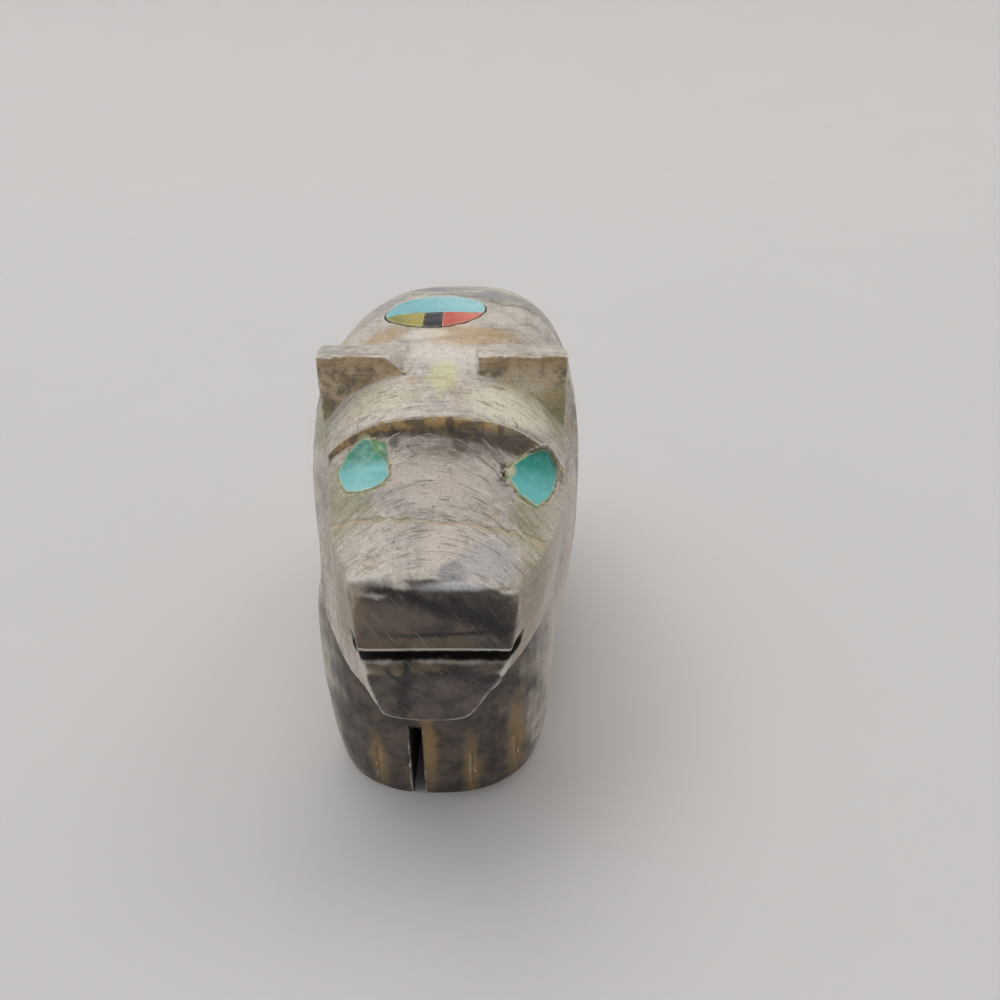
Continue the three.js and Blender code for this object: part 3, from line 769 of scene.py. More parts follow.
    def streaks(self, graph: Graph, at: Socket) -> Socket:
        """Makes the grinding streaks, in the direction that each face was ground.

        Args:
            graph: The material's graph.
            at: The point on the piece, in millimetres.

        Returns:
            The streaks, from 0 to 1.
        """
        parts = graph.split(at)
        side = graph.math("SUBTRACT", parts[0], HEAD_X)
        square = graph.math("MULTIPLY", side, side)
        snout = graph.rise(parts[1], -21.0, -23.0)
        curl = graph.blend(snout, FOREHEAD_CURL, FOREHEAD_CURL + SNOUT_CURL)
        arc = graph.math("ADD", parts[1], graph.math("MULTIPLY", square, curl))
        fine = HEAD_FINE.streaks(graph, side, arc)
        over = graph.blend(0.45, fine, HEAD_COARSE.streaks(graph, side, arc))
        up = graph.math("MULTIPLY", parts[2], 0.6)
        slant = graph.math("ADD", graph.math("MULTIPLY", parts[0], 0.8), up)
        up = graph.math("MULTIPLY", parts[2], 0.8)
        down = graph.math("SUBTRACT", graph.math("MULTIPLY", parts[0], 0.6), up)
        diagonal = SAWN_FRONT.streaks(graph, down, slant)
        level = graph.math("ADD", parts[2], graph.math("MULTIPLY", parts[1], 0.25))
        flat = BODY_FLAT.streaks(graph, graph.math("ADD", parts[0], parts[1]), level)
        streak = graph.blend(graph.marked(Mask.HEAD_TOP), flat, over)
        return graph.blend(graph.marked(Mask.HEAD_FRONT), streak, diagonal)

    def ground(self, graph: Graph, at: Socket, streak: Socket, colour: Socket) -> Socket:
        """Shows the grinding streaks, strongest on top of the head.

        Args:
            graph: The material's graph.
            at: The point on the piece, in millimetres.
            streak: The streaks, from 0 to 1.
            colour: The colour below.

        Returns:
            The new colour.
        """
        front = graph.marked(Mask.HEAD_FRONT)
        share = graph.math("ADD", graph.math("MULTIPLY", graph.marked(Mask.HEAD_TOP), 0.85), 0.15)
        share = graph.math("SUBTRACT", share, graph.math("MULTIPLY", graph.marked(Mask.CHEST), 0.12))
        share = graph.math("MULTIPLY", share, graph.math("SUBTRACT", 1.0, front))
        nose = graph.math("MULTIPLY", front, graph.rise(graph.noise(at, 2.6, 2.0), 0.46, 0.62))
        share = graph.math("ADD", share, graph.math("MULTIPLY", nose, 0.22))
        darker = graph.math("MULTIPLY", graph.rise(streak, 0.52, 0.64), share)
        colour = graph.overlay(colour, Tint(88, 76, 64), darker, 0.66)
        paler = graph.math("MULTIPLY", graph.rise(streak, 0.47, 0.34), share)
        return graph.overlay(colour, BONE, paler, 0.62)

    def colours(self, graph: Graph, at: Socket, streak: Socket) -> Socket:
        """Makes the stone's colour as it is before the mouth's painted shade and soiling.

        Args:
            graph: The material's graph.
            at: The point on the piece, in millimetres.
            streak: The grinding streaks, from 0 to 1.

        Returns:
            The colour.
        """
        mottled = graph.rise(graph.noise(at, 6.0, 6.0, 0.66), 0.36, 0.62)
        colour = lay_over(graph, at, graph.mix(mottled, GREY, CREAM), self.clouds)
        wave = graph.wave(at, 1.6, 4.0)
        colour = self.front_layer(graph, at, wave, colour)
        colour = self.brow_layer(graph, at, wave, colour)
        colour = self.ear_layer(graph, at, wave, colour)
        colour = lay_over(graph, at, colour, self.patches + self.seams)
        colour = self.ground(graph, at, streak, colour)
        colour = lay_over(graph, at, colour, self.grit)
        # Pale worn edges, which also carry a painted highlight along the ridges, the lips and the jaw.
        colour = graph.overlay(colour, BONE, graph.marked(Mask.WORN_EDGE_AND_HIGHLIGHT), 0.8)
        # Painted shade in the creases.
        colour = graph.overlay(colour, DARK_GREY, graph.marked(Mask.CREVICE_SHADE), 0.6)
        return lay_over(graph, at, colour, self.scratches)

    def material(self) -> bpy.types.Material:
        """Makes the material.

        Returns:
            The finished material.
        """
        made, graph = new_material(self.name)
        at = graph.place()
        streak = self.streaks(graph, at)
        colour, grime_and_shade = self.mouth(graph, at, self.colours(graph, at, streak))
        rough = graph.math("ADD", graph.math("MULTIPLY", streak, 0.22), self.roughness - 0.11)
        rough = graph.math("SUBTRACT", rough, graph.math("MULTIPLY", graph.marked(Mask.WORN_EDGE_AND_HIGHLIGHT), 0.12))
        rough = graph.math("MAXIMUM", rough, grime_and_shade)
        grain = graph.noise(at, 0.25, 3.0, 0.6)
        height = graph.math("ADD", streak, graph.math("MULTIPLY", grain, 0.35))
        graph.shade({"Base Color": colour, "Roughness": rough, "Normal": graph.bump(height, 0.5, 0.06)})
        return made


@dataclass(frozen=True)
class InlayStone:
    """A cut and polished inlay stone: two tones, a matrix of a third, and pale worn rims.

    Attributes:
        name: The material's name.
        deep: Its darker tone.
        pale: Its paler tone.
        matrix: The colour of the thin veins.
        rim: The colour of the worn rim.
        toward: Where it gets paler.
        middle: Where the two tones meet.
        spread: How far from there each tone is full.
        matrix_strength: How much the thin veins show.
        roughness: How rough the polish is.
        rim_strength: How much the rim shows.
        patches: Patches of other colours.
    """

    name: str
    deep: Tint
    pale: Tint
    matrix: Tint
    rim: Tint
    toward: Triple = (0.0, 0.0, 1.0)
    middle: Triple = (0.0, 0.0, 0.0)
    spread: float = 1.5
    matrix_strength: float = 0.3
    roughness: float = 0.22
    rim_strength: float = 0.7
    patches: tuple[Patch, ...] = ()

    def material(self) -> bpy.types.Material:
        """Makes the material.

        Returns:
            The finished material.
        """
        made, graph = new_material(self.name)
        at = graph.place()
        offset = graph.vector("SUBTRACT", at, self.middle).outputs[0]
        toward = Vector(self.toward).normalized()[:]
        run = graph.vector("DOT_PRODUCT", offset, toward).outputs["Value"]
        wave = graph.math("MULTIPLY", graph.wave(at, 1.5, 4.0), self.spread * 1.4)
        share = graph.rise(graph.math("ADD", run, wave), -self.spread, self.spread)
        colour = graph.mix(share, self.deep, self.pale)
        cloud = graph.rise(graph.noise(at, 0.8, 4.0, 0.6), 0.4, 0.7)
        colour = graph.overlay(colour, self.pale, cloud, 0.3)
        vein = graph.rise(graph.math("ABSOLUTE", graph.wave(at, 2.2, 5.0, 0.6)), 0.022, 0.0)
        colour = graph.overlay(colour, self.matrix, vein, self.matrix_strength)
        broken = graph.rise(graph.noise(at, 0.7, 3.0), 0.3, 0.5)
        edge = graph.math("MULTIPLY", graph.marked(Mask.WORN_EDGE_AND_HIGHLIGHT), broken)
        colour = graph.overlay(colour, self.rim, edge, self.rim_strength)
        colour = lay_over(graph, at, colour, self.patches)
        parts = graph.split(at)
        streak = POLISH.streaks(graph, parts[0], parts[1])
        rough = graph.math("ADD", graph.math("MULTIPLY", streak, 0.25), self.roughness - 0.12)
        graph.shade({"Base Color": colour, "Roughness": rough, "Normal": graph.bump(streak, 0.35, 0.04)})
        return made


@dataclass(frozen=True)
class GlueFinish:
    """Hardened glue mixed with stone dust, with dark patches that are partly painted shade."""

    name: str
    tint: Tint
    dust: Tint
    roughness: float = 0.45

    def material(self) -> bpy.types.Material:
        """Makes the material.

        Returns:
            The finished material.
        """
        made, graph = new_material(self.name)
        at = graph.place()
        dusty = graph.rise(graph.noise(at, 0.6, 5.0, 0.7), 0.4, 0.6)
        colour = graph.mix(dusty, self.tint, self.dust)
        # Dark patches: partly soiling, and partly painted shade in the gap round the eyes.
        dirt_and_shade = graph.rise(graph.noise(at, 0.9, 4.0), 0.56, 0.68)
        colour = graph.overlay(colour, DARK_GREY, dirt_and_shade, 0.6)
        normal = graph.bump(dusty, 0.6, 0.05)
        graph.shade({"Base Color": colour, "Roughness": self.roughness, "Normal": normal})
        return made


@dataclass(frozen=True)
class FloorFinish:
    """A plain pale matt floor with the faintest mottling."""

    name: str = "Pale floor"
    tint: Tint = Tint(206, 204, 203)
    mottling: Tint = Tint(198, 196, 196)
    roughness: float = 0.75

    def material(self) -> bpy.types.Material:
        """Makes the material.

        Returns:
            The finished material.
        """
        made, graph = new_material(self.name)
        mottled = graph.rise(graph.noise(graph.place(), 60.0, 2.0), 0.2, 0.8)
        colour = graph.overlay(self.tint, self.mottling, mottled, 0.15)
        graph.shade({"Base Color": colour, "Roughness": self.roughness})
        return made


# Shaping meshes


def wander(points: np.ndarray, period: float, seed: int) -> np.ndarray:
    """Returns smooth noise from -1 to 1 at many points.

    Args:
        points: One row for each point, in millimetres.
        period: The size of the noise's blotches.
        seed: Which noise it is.

    Returns:
        One number for each point.
    """
    cell = points / period
    low = np.floor(cell).astype(np.int64)
    share = cell - low
    share = share * share * (3 - 2 * share)
    total = np.zeros(len(points))
    for corner in product((0, 1), repeat=3):
        at = low + corner
        mixed = at[:, 0] * 73856093 ^ at[:, 1] * 19349663 ^ at[:, 2] * 83492791 ^ seed * 26544357
        mixed = (mixed ^ (mixed >> 13)) * 1274126177 & 0xFFFFFFFF
        weight = np.prod(np.where(np.array(corner), share, 1 - share), axis=1)
        total += (mixed / 0x7FFFFFFF - 1) * weight
    return total


def step(values: np.ndarray, low: float, high: float) -> np.ndarray:
    """Returns a smooth step from 0 to 1 as the values go from low to high."""
    share = np.clip((values - low) / (high - low), 0, 1)
    return share * share * (3 - 2 * share)


@dataclass
class Surface:
    """A mesh's points, normals and bends as arrays, to be worked on and written back."""

    mesh: bpy.types.Mesh
    points: np.ndarray = field(init=False)
    normals: np.ndarray = field(init=False)
    edges: np.ndarray = field(init=False)

    def __post_init__(self) -> None:
        """Reads the mesh and its edges."""
        flat = np.zeros(len(self.mesh.edges) * 2, dtype=np.int32)
        self.mesh.edges.foreach_get("vertices", flat)
        self.edges = flat.reshape(-1, 2)
        self.read()

    def read(self) -> None:
        """Reads the points and their normals."""
        count = len(self.mesh.vertices)
        flat = np.zeros(count * 3)
        self.mesh.vertices.foreach_get("co", flat)
        self.points = flat.reshape(-1, 3) / MM
        flat = np.zeros(count * 3)
        self.mesh.vertex_normals.foreach_get("vector", flat)
        self.normals = flat.reshape(-1, 3)

    def spread(self, values: np.ndarray, times: int) -> np.ndarray:
        """Averages the values with those of their neighbours.

        Args:
            values: One number for each point.
            times: How often it is done.

        Returns:
            One number for each point.
        """
        first, second = self.edges.T
        count = len(self.points)
        near = np.bincount(first, minlength=count) + np.bincount(second, minlength=count)
        for _ in range(times):
            total = np.bincount(first, values[second], count) + np.bincount(second, values[first], count)
            values = (values + total / np.maximum(near, 1)) / 2
        return values

    def convexity(self) -> np.ndarray:
        """Measures how sharply the surface bends outwards.

        Returns:
            One number for each point, in 1/mm.
        """
        first, second = self.edges.T
        run = self.points[second] - self.points[first]
        length = np.maximum((run * run).sum(axis=1), 1e-6)
        count = len(self.points)
        bend_first = (self.normals[first] * run).sum(axis=1) / length
        bend_second = -(self.normals[second] * run).sum(axis=1) / length
        total = np.bincount(first, bend_first, count) + np.bincount(second, bend_second, count)
        near = np.bincount(first, minlength=count) + np.bincount(second, minlength=count)
        return -total / np.maximum(near, 1)

    def soften(self, share: np.ndarray, times: int) -> None:
        """Rounds the shape off where the share is above 0.

        Args:
            share: How much of the rounding each point takes.
            times: How often it is smoothed.
        """
        smooth = np.stack([self.spread(part, times) for part in self.points.T], axis=1)
        self.points = self.points + (smooth - self.points) * share[:, None]
        self.write()
        self.read()

    def push(self, distance: np.ndarray) -> None:
        """Moves every point along its normal by a distance in millimetres."""
        self.points += self.normals * distance[:, None]

    def write(self) -> None:
        """Writes the points back into the mesh."""
        self.mesh.vertices.foreach_set("co", (self.points * MM).astype(np.float32).ravel())
        self.mesh.update()

    def mark(self, mask: Mask, values: np.ndarray) -> None:
        """Stores a mask on the mesh's points."""
        layer = self.mesh.attributes.new(mask.value, "FLOAT", "POINT")
        layer.data.foreach_set("value", np.clip(values, 0, 1).astype(np.float32))


def show(mesh: bpy.types.Mesh, name: str) -> bpy.types.Object:
    """Puts a mesh into the scene.

    Args:
        mesh: The mesh.
        name: The object's name.

    Returns:
        The new object.
    """
    made = bpy.data.objects.new(name, mesh)
    bpy.context.scene.collection.objects.link(made)
    return made


def with_modifiers(mesh: bpy.types.Mesh, modify: Callable[[bpy.types.Object], None]) -> bpy.types.Mesh:
    """Returns the mesh as it is after modifiers.

    Args:
        mesh: The mesh that is worked on, which is deleted.
        modify: Adds the modifiers to an object that holds the mesh.

    Returns:
        A new mesh with the modifiers applied.
    """
    holder = show(mesh, "holder")
    modify(holder)
    graph = bpy.context.evaluated_depsgraph_get()
    made = bpy.data.meshes.new_from_object(holder.evaluated_get(graph))
    bpy.data.objects.remove(holder)
    bpy.data.meshes.remove(mesh)
    return made


@dataclass
class Carving:
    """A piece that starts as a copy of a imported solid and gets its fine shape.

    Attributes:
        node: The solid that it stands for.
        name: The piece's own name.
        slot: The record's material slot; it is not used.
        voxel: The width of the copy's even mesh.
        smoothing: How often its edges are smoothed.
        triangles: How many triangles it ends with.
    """

    node: str
    name: str
    slot: str
    voxel: float
    smoothing: int
    triangles: int

    def copy(self) -> bmesh.types.BMesh:
        """Copies the solid.

        Returns:
            The copy, with its doubled points merged.
        """
        solid = bmesh.new()
        solid.from_mesh(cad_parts[self.node].data)
        bmesh.ops.remove_doubles(solid, verts=solid.verts, dist=0.001 * MM)
        return solid

    def even(self, solid: bmesh.types.BMesh) -> bpy.types.Mesh:
        """Gives a shape an even fine mesh and softened edges.

        Args:
            solid: The shape, which is freed.

        Returns:
            The new mesh.
        """
        mesh = bpy.data.meshes.new(self.name)
        solid.to_mesh(mesh)
        solid.free()

        def modify(holder: bpy.types.Object) -> None:
            """Adds the even mesh and its smoothing.

            Args:
                holder: The object that holds the mesh.
            """
            remesh = holder.modifiers.new("even", "REMESH")
            remesh.mode = "VOXEL"
            remesh.voxel_size = self.voxel * MM
            smooth = holder.modifiers.new("soft", "SMOOTH")
            smooth.factor = 0.5
            smooth.iterations = self.smoothing

        return with_modifiers(mesh, modify)

    def thinned(self, mesh: bpy.types.Mesh) -> bpy.types.Mesh:
        """Thins a mesh down to the triangles that it may have.

        Args:
            mesh: The mesh, which is deleted where it has too many.

        Returns:
            The mesh as it may be.
        """
        faces = 2 * len(mesh.polygons)
        if faces <= self.triangles:
            return mesh

        def modify(holder: bpy.types.Object) -> None:
            """Adds the thinning."""
            thin = holder.modifiers.new("thin", "DECIMATE")
            thin.ratio = self.triangles / faces

        return with_modifiers(mesh, modify)

    def relief(self, surface: Surface) -> None:
        """Shapes the fine relief; each kind of piece has its own."""

    def masks(self, surface: Surface) -> None:
        """Marks the worn edges that the finish shows."""
        bend = surface.spread(surface.convexity(), 1)
        surface.mark(Mask.WORN_EDGE_AND_HIGHLIGHT, step(bend, 0.5, 1.6))

    def shape(self) -> bpy.types.Mesh:
        """Makes the piece's shape.

        Returns:
            The finished mesh, without its masks.
        """
        mesh = self.even(self.copy())
        surface = Surface(mesh)
        self.relief(surface)
        surface.write()
        return self.thinned(mesh)

    def dress(self, mesh: bpy.types.Mesh, finishes: Sequence[Any]) -> bpy.types.Object:
        """Gives the shape its masks and materials, and lets it stand for its solid.

        Args:
            mesh: The finished shape.
            finishes: What gives each of its materials.

        Returns:
            The piece, riding on the bear's body.
        """
        self.masks(Surface(mesh))
        mesh.shade_smooth()
        for finish in finishes:
            mesh.materials.append(finish.material())
        piece = show(mesh, self.name)
        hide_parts(self.node)
        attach(piece, BODY)
        log.info("%s: %d faces", self.name, len(mesh.polygons))
        return piece


@dataclass(frozen=True)
class Dent:
    """A place where the stone chipped away."""

    centre: Triple
    radius: float
    depth: float
    ragged: float = 0.6

    def at(self, points: np.ndarray) -> np.ndarray:
        """Measures how deep the dent is.

        Args:
            points: One row for each point, in millimetres.

        Returns:
            One number for each point, in millimetres.
        """
        depth = np.zeros(len(points))
        near = np.flatnonzero(np.abs(points - self.centre).max(axis=1) < 1.8 * self.radius)
        away = np.linalg.norm(points[near] - self.centre, axis=1) / self.radius
        away += self.ragged * wander(points[near], self.radius * 0.7, 9)
        depth[near] = self.depth * np.clip(1 - np.maximum(away, 0) ** 2, 0, 1)
        return depth


DENTS = (
    Dent((6.1, -24.2, 35.0), 0.55, 0.22),
    Dent((5.9, -23.6, 35.4), 0.35, 0.15),
    Dent((6.7, -24.6, 34.6), 0.3, 0.12),
    Dent((-3.4, -22.9, 36.8), 0.35, 0.14),
    Dent((-10.0, -17.4, 43.2), 0.7, 0.22),
    Dent((-2.9, -17.4, 42.6), 0.6, 0.2),
    Dent((8.4, -17.4, 43.3), 0.6, 0.14),
    Dent((4.0, -17.4, 43.2), 0.4, 0.15),
    Dent((-6.4, -33.0, 28.6), 1.0, 0.3),
    Dent((-3.0, -33.0, 29.3), 0.7, 0.15),
    Dent((5.9, -32.6, 28.6), 0.7, 0.2),
    Dent((-5.6, -34.0, 24.5), 0.4, 0.15),
)


@dataclass
class StoneBear(Carving):
    """The carved bear, with the traces of saw, grinding wheel and handling.

    Attributes:
        wobble: How uneven the ground faces are.
        groove_depth: How deep the grinding grooves on the head are.
        saw_lines: How far below the brow's edge its saw lines run.
        saw_depth: How deep they are.
        saw_width: How wide they are.
        chip_depth: How deep the edges are chipped.
        overbite: How far the lower lip stands behind the upper one.
        chin_fill: How much deeper the chin is behind its front.
        chin_profile: Places along the chin, and the share of that depth at each.
        chin_drop: How much lower the chin's middle is.
        chin_lift: How far the chin's corners are lifted.
        chin_corners: Where the chin is rounded, and how far around.
        pit_count: How many pits there are.
        pit_depth: How deep they are.
    """

    wobble: float = 0.07
    groove_depth: float = 0.014
    saw_lines: tuple[float, ...] = (0.45, 1.0)
    saw_depth: float = 0.07
    saw_width: float = 0.12
    chip_depth: float = 0.2
    overbite: float = 0.7
    chin_fill: float = 2.5
    chin_profile: tuple[tuple[float, ...], ...] = (
        (-31.3, -30.85, -30.49, -29.71, -27.4),
        (0.0, 0.56, 0.86, 1.0, 0.0),
    )
    chin_drop: float = 0.35
    chin_lift: float = 1.3
    chin_corners: tuple[tuple[Triple, float], ...] = (
        ((5.2, -31.3, 15.8), 3.2),
        ((5.3, -32.2, 18.9), 2.6),
        ((-4.2, -31.3, 14.8), 2.6),
    )
    pit_count: int = 60
    pit_depth: float = 0.06

    def build(self, finish: Any) -> bpy.types.Object:
        """Makes the bear and returns its piece."""
        return self.dress(self.shape(), [finish])

    def brow_drop(self, x: np.ndarray, z: np.ndarray) -> np.ndarray:
        """Returns how far below the brow's edge each point lies."""
        return BROW_Z - BROW_SAG * (np.abs(x - HEAD_X) / BROW_REACH) ** 3 - z

    def fill_chin(self, surface: Surface) -> None:
        """Makes the chin deeper behind its sawn front.

        Args:
            surface: The bear's surface, which is changed.
        """
        x, y, z = surface.points.T
        fill = np.interp(y, *self.chin_profile)
        fill *= step(z, 21.0, 19.0) * step(z, 12.5, 13.5) * np.clip(1 - ((x - 0.3) / 5.3) ** 4, 0, 1)
        surface.points[:, 2] -= self.chin_fill * fill

    def round_front(self, surface: Surface) -> np.ndarray:
        """Rounds the nose, the jaw and the chin's corners, which are lifted first.

        Args:
            surface: The bear's surface, which is changed.

        Returns:
            How much the nose and the jaw were rounded at each point, from 0 to 1.
        """
        _, y, z = surface.points.T
        nose = step(y, -30.0, -31.5) * step(z, 25.0, 25.6)
        jaw = step(y, -22.0, -24.5) * step(z, 23.2, 22.6) * step(z, 12.0, 13.5)
        surface.soften(nose, 26)
        surface.soften(jaw, 6)
        x, y, z = surface.points.T
        corner = np.clip((x - 1.0) / 4.3, 0, 1) ** 1.6 + 0.4 * np.clip((-3.2 - x) / 2.0, 0, 1) ** 1.5
        lift = self.chin_lift * corner * step(z, 19.6, 14.6) * step(y, -25.5, -29.0) * step(z, 11.0, 12.5)
        surface.points[:, 2] += lift
        surface.write()
        surface.read()
        for centre, reach in self.chin_corners:
            away = np.linalg.norm(surface.points - centre, axis=1) / reach
            surface.soften(step(away, 1.0, 0.6), 60)
        return np.maximum(nose, jaw)

    def set_lips(self, surface: Surface) -> None:
        """Sets the lower lip back, and lowers the upper lip and the chin.

        Args:
            surface: The bear's surface, which is changed.
        """
        x, y, z = surface.points.T
        lower_lip = step(z, 21.0, 23.2) * step(z, 23.9, 23.7) * step(y, -30.5, -32.0)
        surface.points[:, 1] += self.overbite * lower_lip * step(y, -31.0, -33.6)
        surface.points[:, 2] -= 0.6 * self.overbite * lower_lip
        upper_lip = step(z, 24.2, 24.4) * step(z, 26.4, 24.6) * step(y, -29.5, -31.5)
        surface.points[:, 2] -= LIP_DROP * upper_lip * np.clip(1 - ((x - 0.3) / 7.5) ** 4, 0, 1)
        under = step(z, 17.5, 15.0) * step(y, -24.0, -29.0) * np.clip(1 - ((x + 0.2) / 6.5) ** 4, 0, 1)
        surface.points[:, 2] -= self.chin_drop * under
        surface.write()
        surface.read()

    def grooves(self, surface: Surface) -> np.ndarray:
        """Makes the grinding grooves on top of the head.

        Args:
            surface: The bear's surface.

        Returns:
            How far each point stands up, in millimetres.
        """
        x, y, _ = surface.points.T
        head_top = step(surface.normals[:, 2], 0.35, 0.6) * step(y, -16.5, -17.5)
        curl = FOREHEAD_CURL + SNOUT_CURL * step(y, -21.5, -23.0)
        arc = y + curl * (x - HEAD_X) ** 2
        lines = np.stack([x * 0.3, arc, np.zeros_like(x)], axis=1)
        return self.groove_depth * head_top * (wander(lines, 0.45, 3) + wander(lines, 1.1, 4))

    def relief(self, surface: Surface) -> None:
        """Wears the edges, and grinds, chips and pits the faces.

        Args:
            surface: The bear's surface, which is changed.
        """
        self.fill_chin(surface)
        blunt = self.round_front(surface)
        self.set_lips(surface)
        points = surface.points
        x, y, z = points.T
        move = self.wobble * (wander(points, 6.0, 1) + 0.5 * wander(points, 2.7, 2))
        move += self.grooves(surface)
        on_step = step(-surface.normals[:, 1], 0.5, 0.8) * step(y, -23.2, -22.8) * step(y, -21.4, -21.8)
        drop = self.brow_drop(x, z)
        for depth in self.saw_lines:
            move -= self.saw_depth * on_step * np.exp(-(((drop - depth) / self.saw_width) ** 2))
        bend = surface.spread(surface.convexity(), 2)
        chip = step(wander(points, 1.1, 5) + 0.4 * wander(points, 0.4, 6), 0.35, 0.7)
        chipped = (1 - blunt) * (1 - 0.6 * step(z, 14.0, 12.0))
        move -= self.chip_depth * step(bend, 0.5, 1.8) * chip * chipped
        move -= self.pits(surface)
        for dent in DENTS:
            move -= dent.at(points)
        above_soles = step(z, 0.25, 1.0)
        surface.push(move * above_soles)

    def pits(self, surface: Surface) -> np.ndarray:
        """Makes the small pits scattered over the stone.

        Args:
            surface: The bear's surface.

        Returns:
            How deep each point lies in a pit, in millimetres.
        """
        chance = np.random.default_rng(7)
        picked = chance.choice(len(surface.points), self.pit_count, replace=False)
        depth = np.zeros(len(surface.points))
        for centre in surface.points[picked]:
            radius = chance.uniform(0.18, 0.4)
            near = np.flatnonzero(np.abs(surface.points - centre).max(axis=1) < radius)
            away = np.linalg.norm(surface.points[near] - centre, axis=1) / radius
            depth[near] = self.pit_depth * (radius / 0.3) * np.clip(1 - away**2, 0, 1)
        return depth

    def masks(self, surface: Surface) -> None:
        """Marks the worn edges and painted highlights, the creases for painted shade, and the faces that
        were ground or left dark.

        Args:
            surface: The bear's finished surface.
        """
        _, y, z = surface.points.T
        front, top = -surface.normals[:, 1], surface.normals[:, 2]
        bend = surface.spread(surface.convexity(), 1)
        side = step(y, -30.0, -31.0) * step(z, 23.6, 23.9)
        # The jaw's outline, where a pale line is painted as a highlight.
        rim = step(y, -24.0, -27.0) * step(z, 22.6, 21.8) * step(z, 12.5, 13.5)
        lower_lip = step(y, -31.0, -32.0) * step(z, 22.0, 22.4) * step(z, 24.1, 23.9)
        # Convex edges: pale for wear, and a painted highlight as well.
        worn = step(bend, 0.45, 1.3) * (1 - 0.85 * side) * (1 - lower_lip)
        surface.mark(Mask.WORN_EDGE_AND_HIGHLIGHT, np.maximum(worn, rim * step(surface.spread(bend, 2), 0.12, 0.4)))
        # Creases, which the finish darkens as painted shade.
        surface.mark(Mask.CREVICE_SHADE, step(-bend, 0.5, 1.8))
        surface.mark(Mask.CUT_FACE, step(front, 0.45, 0.7) * step(z, 33.5, 34.5))
        wave = wander(surface.points, 3.0, 8) + 0.6 * wander(surface.points, 1.2, 10)
        chest = step(front + 0.22 * wave, 0.25, 0.8) * step(z, 24.0, 18.0) * step(y, -17.0, -21.0)
        surface.mark(Mask.CHEST, chest * step(y, -28.9, -28.4))
        surface.mark(Mask.HEAD_FRONT, step(front, 0.5, 0.75) * step(y, -30.3, -31.2))
        surface.mark(Mask.HEAD_TOP, step(top, 0.3, 0.55) * step(y, EAR_Y + 1.0, EAR_Y))


# How well two faces' directions agree, and the angle in radians, where they count as one flat face.
SAME_WAY = 0.999
LIMIT_ANGLE = 0.02


def setting_axis(solid: bmesh.types.BMesh) -> Vector:
    """Finds the direction in which an inlay points out of the stone.

    Args:
        solid: The inlay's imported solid.

    Returns:
        The direction away from its flat bottom, the largest flat part that looks down.
    """

    def flat_area(face: bmesh.types.BMFace) -> float:
        """Returns the area of all faces that lie the same way."""
        level = [other for other in solid.faces if other.normal.dot(face.normal) > SAME_WAY]
        return sum(other.calc_area() for other in level)

    return -max((face for face in solid.faces if face.normal.z < 0), key=flat_area).normal


@dataclass(frozen=True)
class Seat:
    """The stone's surface carried on over an inlay that was ground down with it.

    Attributes:
        middle: The middle of the inlay's packed top.
        turn: Its directions across, along and outwards, one in each row.
        bends: What the surface's height over that top is made of.
    """

    middle: np.ndarray
    turn: np.ndarray
    bends: np.ndarray

    @staticmethod
    def terms(local: np.ndarray) -> np.ndarray:
        """Returns the six parts of a curved surface's height at each point."""
        u, v = local[:, 0], local[:, 1]
        return np.stack([np.ones(len(u)), u, v, u * u, u * v, v * v], axis=1)

    @classmethod
    def around(cls, solid: bmesh.types.BMesh, stone: BVHTree, reaches: Sequence[float]) -> "Seat":
        """Reads the stone round an inlay.

        Args:
            solid: The inlay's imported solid.
            stone: The bear's finished surface.
            reaches: How far from the inlay's middle the stone is read.

        Returns:
            The seat.
        """
        out = setting_axis(solid)
        across = Vector((0, 1, 0)).cross(out).normalized()
        lids = [face for face in solid.faces if face.normal.dot(out) > 0.8]
        top = dict.fromkeys(vert for face in lids for vert in face.verts)
        middle = sum((vert.co for vert in top), Vector()) / len(top)
        along = out.cross(across)
        found = []
        for turn, reach in product(range(72), reaches):
            angle = math.radians(5 * turn)
            side = across * math.cos(angle) + along * math.sin(angle)
            over = middle + side * reach * MM
            hit = stone.ray_cast(over + out * MM, -out)[0]
            if hit is not None and -1.2 < (hit - over).dot(out) / MM < 0.1:
                found.append((hit - middle) / MM)
        turned = np.array([across, along, out])
        local = np.array(found) @ turned.T
        terms = cls.terms(local)
        even = np.diag([0, 0, 0, 1.0, 1.0, 1.0])
        bends = np.linalg.solve(terms.T @ terms + even, terms.T @ local[:, 2])
        return cls(np.array(middle) / MM, turned, bends)

    def heights(self, points: np.ndarray) -> tuple[np.ndarray, np.ndarray]:
        """Measures heights over the inlay's packed top.

        Args:
            points: One row for each point, in millimetres.

        Returns:
            Each point's own height, and the surface's there.
        """
        local = (points - self.middle) @ self.turn.T
        return local[:, 2], np.clip(self.terms(local) @ self.bends, -1.0, 0.1)

    def onto(self, point: Vector) -> Vector:
        """Returns a point brought to the surface, both in metres."""
        own, surface = self.heights(np.array([point]) / MM)
        return point + Vector(self.turn[2]) * float(surface[0] - own[0]) * MM


